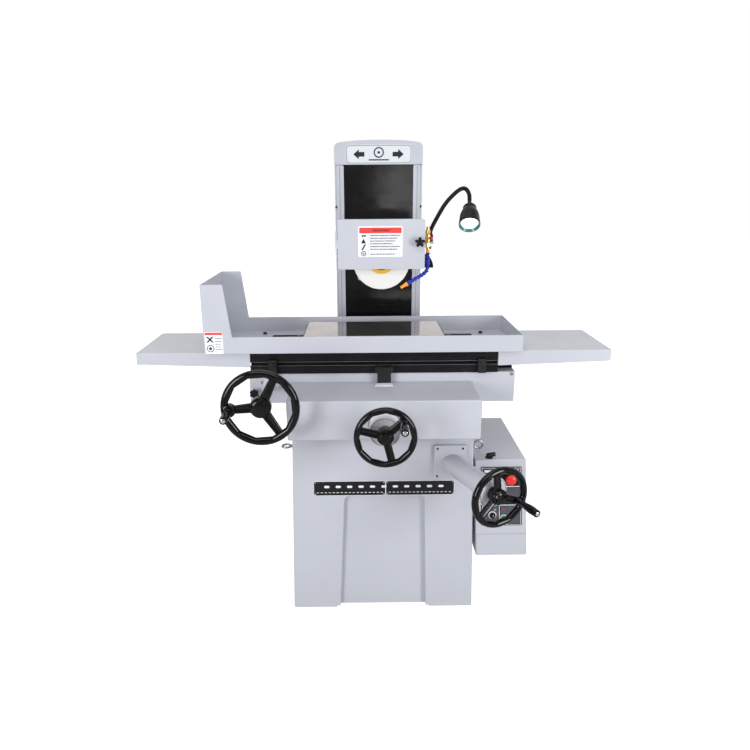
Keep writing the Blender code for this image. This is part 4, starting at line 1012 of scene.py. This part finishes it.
bm = bmesh.new()
place = plane(0.5945)
layer(bm, place, chamfered(-0.13, 0.132, 1.625, 1.6975, 0.009), 0, 0, 0.0008)
place = plane(0.5939)
layer(bm, place, chamfered(-0.1278, 0.1298, 1.6272, 1.6953, 0.0084), 1, 1)
layer(bm, place, chamfered(-0.1256, 0.1276, 1.6294, 1.6931, 0.0076), 2, 0)
for side in (-1, 1):
    tip, tail, wide = side * 0.1, side * 0.056, side * 0.078
    layer(bm, place, [(tip, 1.6612), (wide, 1.68), (wide, 1.67), (tail, 1.67),
                      (tail, 1.6524), (wide, 1.6524), (wide, 1.6424)][::side], 3, 2)
for radius, level, paint, count in ((0.0205, 3, 2, 48), (0.0155, 4, 0, 48), (0.005, 5, 2, 32)):
    disc(bm, place, 0.001, 1.668, radius, level, paint, count)
patch(bm, place, -0.039, 0.041, 1.6375, 1.6425, 3, 2)
finish_piece("cap_plate", bm, "base", [SILVER, GREY_INK_AND_SHADE, INK_AND_SHADE])

bm = bmesh.new()
place = plane(0.17)
layer(bm, place, chamfered(-0.0815, 0.0731, 1.3035, 1.4078, 0.003), 0, 0)
patch(bm, place, -0.0775, 0.0691, 1.3845, 1.4035, 1, 1)
dashes(bm, place, -0.031, 0.029, [1.394], 0.0064, 2, 4)
dashes(bm, place, -0.04, 0.065, [1.3768 - 0.0094 * i for i in range(6)] + [1.313], 0.003,
       1, 3)
for z in (1.3815, 1.3722, 1.3635, 1.354, 1.3445, 1.335, 1.3225):
    patch(bm, place, -0.044, 0.0691, z - 0.0002, z + 0.0002, 1, 2)
patch(bm, place, -0.0452, -0.0446, 1.3065, 1.3825, 1, 2)
for outline in ([(-0.069, 1.3745), (-0.054, 1.3745), (-0.054, 1.3785), (-0.069, 1.3785)],
                [(-0.069, 1.3715), (-0.064, 1.3715), (-0.064, 1.3745), (-0.069, 1.3745)],
                [(-0.059, 1.3715), (-0.056, 1.3715), (-0.056, 1.3745), (-0.059, 1.3745)],
                [(-0.0715, 1.35), (-0.0545, 1.35), (-0.063, 1.367)],
                [(-0.0715, 1.327), (-0.0655, 1.327), (-0.054, 1.3465), (-0.06, 1.3465)]):
    layer(bm, place, outline, 1, 3)
target(bm, place, -0.063, 1.315, (0.0088, 0.0062, 0.003), 3)
finish_piece("door_label", bm, "guard_door", [WHITE, LABEL_RED, GREY_INK_AND_SHADE, INK_AND_SHADE, OXBLOOD])

bm = bmesh.new()
place = plane(0.068)
layer(bm, place, chamfered(-0.6147, -0.5528, 0.984, 1.0624, 0.002), 0, 0)
patch(bm, place, -0.6135, -0.554, 1.0515, 1.06, 1, 1)
dashes(bm, place, -0.579, -0.556, [1.039 - 0.0098 * i for i in range(5)], 0.0022, 1, 3)
for top_x, low_x in ((-0.6105, -0.5905), (-0.5905, -0.6105)):
    layer(bm, place, [(top_x, 1.0455), (top_x + 0.007, 1.0455), (low_x + 0.007, 1.0255),
                      (low_x, 1.0255)], 1, 3)
target(bm, place, -0.597, 1.0035, (0.0128, 0.0104, 0.0052), 3)
finish_piece("tray_label", bm, "table", [WHITE, LABEL_RED, GREY_INK_AND_SHADE, INK_AND_SHADE])


# ---- electrical cabinet

CABINET_LEFT, CABINET_RIGHT, CABINET_TOP = 0.3275, 0.509, 0.605
PANEL_Y = -0.0008


def leaning(x, z):
    """The cabinet's sides lean outward towards the floor, the right one more."""
    share = (x - CABINET_LEFT) / (CABINET_RIGHT - CABINET_LEFT)
    return x + (CABINET_TOP - z) * (0.047 + 0.019 * share)


def tile(bm, place, low_x, high_x, low_z, high_z, level, paint):
    """A patch whose upright edges lean with the cabinet."""
    layer(bm, place, [(leaning(low_x, low_z), low_z), (leaning(high_x, low_z), low_z),
                      (leaning(high_x, high_z), high_z), (leaning(low_x, high_z), high_z)],
          level, paint)


bm = bmesh.new()
place = plane(PANEL_Y)
low_x, high_x, low_z, high_z, width = 0.351, 0.4885, 0.3475, 0.5735, 0.0014
for row in (
        (low_x, high_x, low_z, low_z + width, 0, 1),
        (low_x, high_x, high_z - width, high_z, 0, 1),
        (low_x, low_x + width, low_z + width, high_z - width, 0, 1),
        (high_x - width, high_x, low_z + width, high_z - width, 0, 1),
        (0.354, 0.4855, 0.548, 0.5705, 0, 2),
        (0.36, 0.435, 0.556, 0.565, 1, 1),
        (0.456, 0.481, 0.5545, 0.5675, 1, 1),
        (0.462, 0.465, 0.5565, 0.5655, 2, 0),
        (0.471, 0.474, 0.5565, 0.5655, 2, 0),
        (0.354, 0.4855, 0.499, 0.502, 0, 1),
        (0.42, 0.4855, 0.445, 0.496, 0, 2),
        (0.356, 0.415, 0.445, 0.496, 0, 2),
        (0.354, 0.4855, 0.4255, 0.428, 0, 1),
        (0.411, 0.413, 0.353, 0.4255, 0, 1),
        (0.356, 0.408, 0.353, 0.423, 0, 2),
        (0.416, 0.4855, 0.353, 0.423, 0, 2)):
    tile(bm, place, *row)
for x, z, paint in ((0.387, 0.413, 3), (0.407, 0.408, 1), (0.44, 0.406, 4),
                    (0.466, 0.414, 3)):
    disc(bm, place, x, z, 0.003, 1, paint)
    disc(bm, place, x, z, 0.0018, 2, 0)
for x in (0.35, 0.4895):
    for z in (0.3465, 0.5745):
        lathe(bm, facing(at(leaning(x, z), PANEL_Y, z)),
              [(0, 0.0012), (0.0012, 0.0011), (0.0022, 0)], 20, paint=5)
finish_piece("panel_print", bm, "base", [PANEL, WHITE, PANEL_GREY, GREEN, RED, BRIGHT])

bm = bmesh.new()
for x, z, outer, bore, high, paint in ((0.453, 0.537, 0.017, 0.0116, 0.009, 1),
                                       (0.44, 0.377, 0.012, 0.0096, 0.0034, 0),
                                       (0.466, 0.377, 0.012, 0.0096, 0.0034, 0),
                                       (0.3985, 0.387, 0.015, 0.0066, 0.0008, 0)):
    lathe(bm, facing(at(x, -0.0012, z)),
          [(bore, 0), (bore, high), (outer * 0.9, high), (outer, high * 0.7), (outer, 0)],
          56, True, paint)
finish_piece("control_bezels", bm, "base", [DIAL, SATIN])

bm = bmesh.new()
lathe(bm, facing(at(0.453, PANEL_Y, 0.537)),
      [(0, 0.0352), (0.009, 0.0346), (0.014, 0.0334), (0.0172, 0.031), (0.0188, 0.0278),
       (0.019, 0.0235), (0.0182, 0.0215), (0.015, 0.02), (0.011, 0.0195), (0.011, -0.01)], 64)
rebuild("emergency_stop", bm, [RED])

for node, x, surface in (("start_button", 0.44, GREEN), ("stop_button", 0.466, RED)):
    bm = bmesh.new()
    lathe(bm, facing(at(x, PANEL_Y, 0.377)),
          [(0.005, 0.0084), (0.0072, 0.009), (0.0084, 0.0086), (0.009, 0.0074), (0.009, -0.01)], 48)
    rebuild(node, bm, [surface])

bm = bmesh.new()
selector_place = facing(at(0.3985, PANEL_Y, 0.387))
lathe(bm, selector_place,
      [(0, 0.0082), (0.0092, 0.008), (0.0106, 0.0068), (0.011, 0.0052), (0.011, 0.0014),
       (0.006, 0.0012), (0.006, -0.01)], 56)
block(bm, (-0.0033, -0.0102, 0.006), (0.0033, 0.0102, 0.016), 0.0014, place=selector_place,
      segments=3)
block(bm, (-0.0006, 0.002, 0.0158), (0.0006, 0.0094, 0.0162), place=selector_place, paint=1)
rebuild("magnet_selector", bm, [SATIN, WHITE])

bm = bmesh.new()
start = at(0.38, 0.018, 0.6053)
lathe(bm, upright(start), [(0, 0.006), (0.0128, 0.0058), (0.014, 0.0046), (0.014, 0)], 6)
lathe(bm, upright(start), [(0, 0.0155), (0.0085, 0.0148), (0.0118, 0.0125), (0.0118, 0)], 12)
elbow = smooth_path([start + Vector(step) for step in (
    (-0.006, 0.003, 0.009), (0.004, -0.0016, 0.0118), (0.011, -0.0044, 0.0148),
    (0.02, -0.008, 0.0177))], 0.0015)
sweep(bm, elbow, [0.0082 if i % 5 else 0.0062 for i in range(len(elbow))])
rebuild("cable_gland", bm, [PHENOLIC])

bm = bmesh.new()
low_z, high_z = 0.3071, 0.3081
seam = [(leaning(CABINET_LEFT, low_z) - 0.0004, low_z),
        (leaning(CABINET_RIGHT, low_z) + 0.0004, low_z),
        (leaning(CABINET_RIGHT, high_z) + 0.0004, high_z),
        (leaning(CABINET_LEFT, high_z) - 0.0004, high_z)]
prism(bm, seam, -0.0022, -0.0016, front)
finish_piece("cabinet_seam", bm, "base", [GREY_INK_AND_SHADE])

bm = bmesh.new()
for i in range(9):
    z = 0.3 + i * 0.016
    x = leaning(CABINET_RIGHT, z)
    block(bm, at(x - 0.0006, 0.285, z), at(x + 0.0042, 0.385, z + 0.0062), 0.0018)
for y in (0.06, 0.38):
    for z in (0.25, 0.575):
        start = at(leaning(CABINET_RIGHT, z) - 0.0002, y, z)
        socket_screw(bm, along(start, start + Vector((1, 0, 0.035))), 0.004, 0.0024)
finish_piece("cabinet_louvres", bm, "base", [GREY])


# ---- way strips and back covers

bm = bmesh.new()
for side in (-1, 1):
    xs = sorted((side * 0.1395, side * 0.1545))
    block(bm, at(xs[0], 0.5975, 0.759), at(xs[1], 0.6005, 1.6165), 0.0006)
    # A thin dark line beside each strip: painted shade of the recess there.
    xs = sorted((side * 0.1548, side * 0.1562))
    block(bm, at(xs[0], 0.5997, 0.759), at(xs[1], 0.6005, 1.6165), paint=1)
finish_piece("column_way_strips_with_painted_shade", bm, "base", [GREY, GREY_INK_AND_SHADE])

bm = bmesh.new()
block(bm, at(-0.15, 0.8995, 0.12), at(0.15, 0.9025, 0.56), 0.0008)
for x in (-0.138, 0.138):
    for z in (0.132, 0.34, 0.548):
        start = at(x, 0.9022, z)
        socket_screw(bm, along(start, start + Vector((0, 1, 0))), 0.0045, 0.003)
finish_piece("base_rear_cover", bm, "base", [GREY])


# ---- floor, lights and camera

floor_bm = bmesh.new()
bmesh.ops.create_grid(floor_bm, x_segments=1, y_segments=1, size=14.0)
floor = add_object("floor", to_mesh("floor", floor_bm))
floor_paint = bpy.data.materials.new("floor")
floor_paint.use_nodes = True
tree = floor_paint.node_tree
shader = tree.nodes["Principled BSDF"]
for socket, value in (("Base Color", (0.3, 0.3, 0.305, 1)), ("Roughness", 0.85),
                      ("Emission Color", (1, 1, 1, 1))):
    shader.inputs[socket].default_value = value
glow = add_node(tree, "MapRange", {"To Min": 0.16, "To Max": 0.95})
rays = add_node(tree, "LightPath")
tree.links.new(rays.outputs["Is Camera Ray"], glow.inputs["Value"])
tree.links.new(glow.outputs["Result"], shader.inputs["Emission Strength"])
floor.data.materials.append(floor_paint)

for name, place, target_point, width, height, power in (
        ("left_softbox", (-2.3, -2.9, 1.4), (0, -0.1, 0.7), 1.1, 1.7, 68),
        ("right_softbox", (2.5, -2.6, 1.35), (0, -0.1, 0.7), 1, 1.7, 68),
        ("overhead_softbox", (-0.2, -2.4, 3.3), (0, 0, 0.9), 2.6, 0.5, 21),
        ("top_softbox", (-0.2, -0.6, 3.8), (0, 0.1, 1), 2.6, 1.6, 14),
        ("front_panel", (0.36, -3.4, 1.5), (0, 0.6, 1.4), 0.5, 0.6, 2)):
    lamp = bpy.data.lights.new(name, "AREA")
    lamp.shape = "RECTANGLE"
    lamp.size = width
    lamp.size_y = height
    lamp.energy = power
    light = add_object(name, lamp)
    light.location = place
    aim = Vector(target_point) - Vector(place)
    light.rotation_euler = aim.to_track_quat("-Z", "Y").to_euler()

world = bpy.data.worlds.new("studio")
world.use_nodes = True
tree = world.node_tree
background = tree.nodes["Background"]
background.inputs["Color"].default_value = (1, 1, 1, 1)
sky = add_node(tree, "TexCoord")
direction = add_node(tree, "SeparateXYZ")
backdrop = add_node(tree, "MapRange",
                    {"From Min": -0.5, "From Max": 0.8, "To Min": 0.26, "To Max": 0.92})
rays = add_node(tree, "LightPath")
seen = add_node(tree, "Math")
seen.operation = "MAXIMUM"
for output, socket in ((sky.outputs["Generated"], direction.inputs["Vector"]),
                       (direction.outputs["Y"], backdrop.inputs["Value"]),
                       (backdrop.outputs["Result"], seen.inputs[0]),
                       (rays.outputs["Is Camera Ray"], seen.inputs[1]),
                       (seen.outputs["Value"], background.inputs["Strength"])):
    tree.links.new(output, socket)
scene = bpy.context.scene
scene.world = world
scene.view_settings.view_transform = "Standard"

CAMERA_PITCH = math.radians(73.58)
CAMERA_YAW, CAMERA_ROLL = -0.0056, -0.007
optics = bpy.data.cameras.new("camera")
optics.lens = 31.04
optics.sensor_width = 36.0
optics.shift_x = 0.0106
optics.shift_y = -0.0008
camera = add_object("camera", optics)
camera.matrix_world = (Matrix.Translation((-0.0381, -2.4968, 1.5488)) @ spun(CAMERA_YAW)
                       @ Matrix.Rotation(CAMERA_PITCH, 4, "X") @ spun(CAMERA_ROLL))
scene.camera = camera
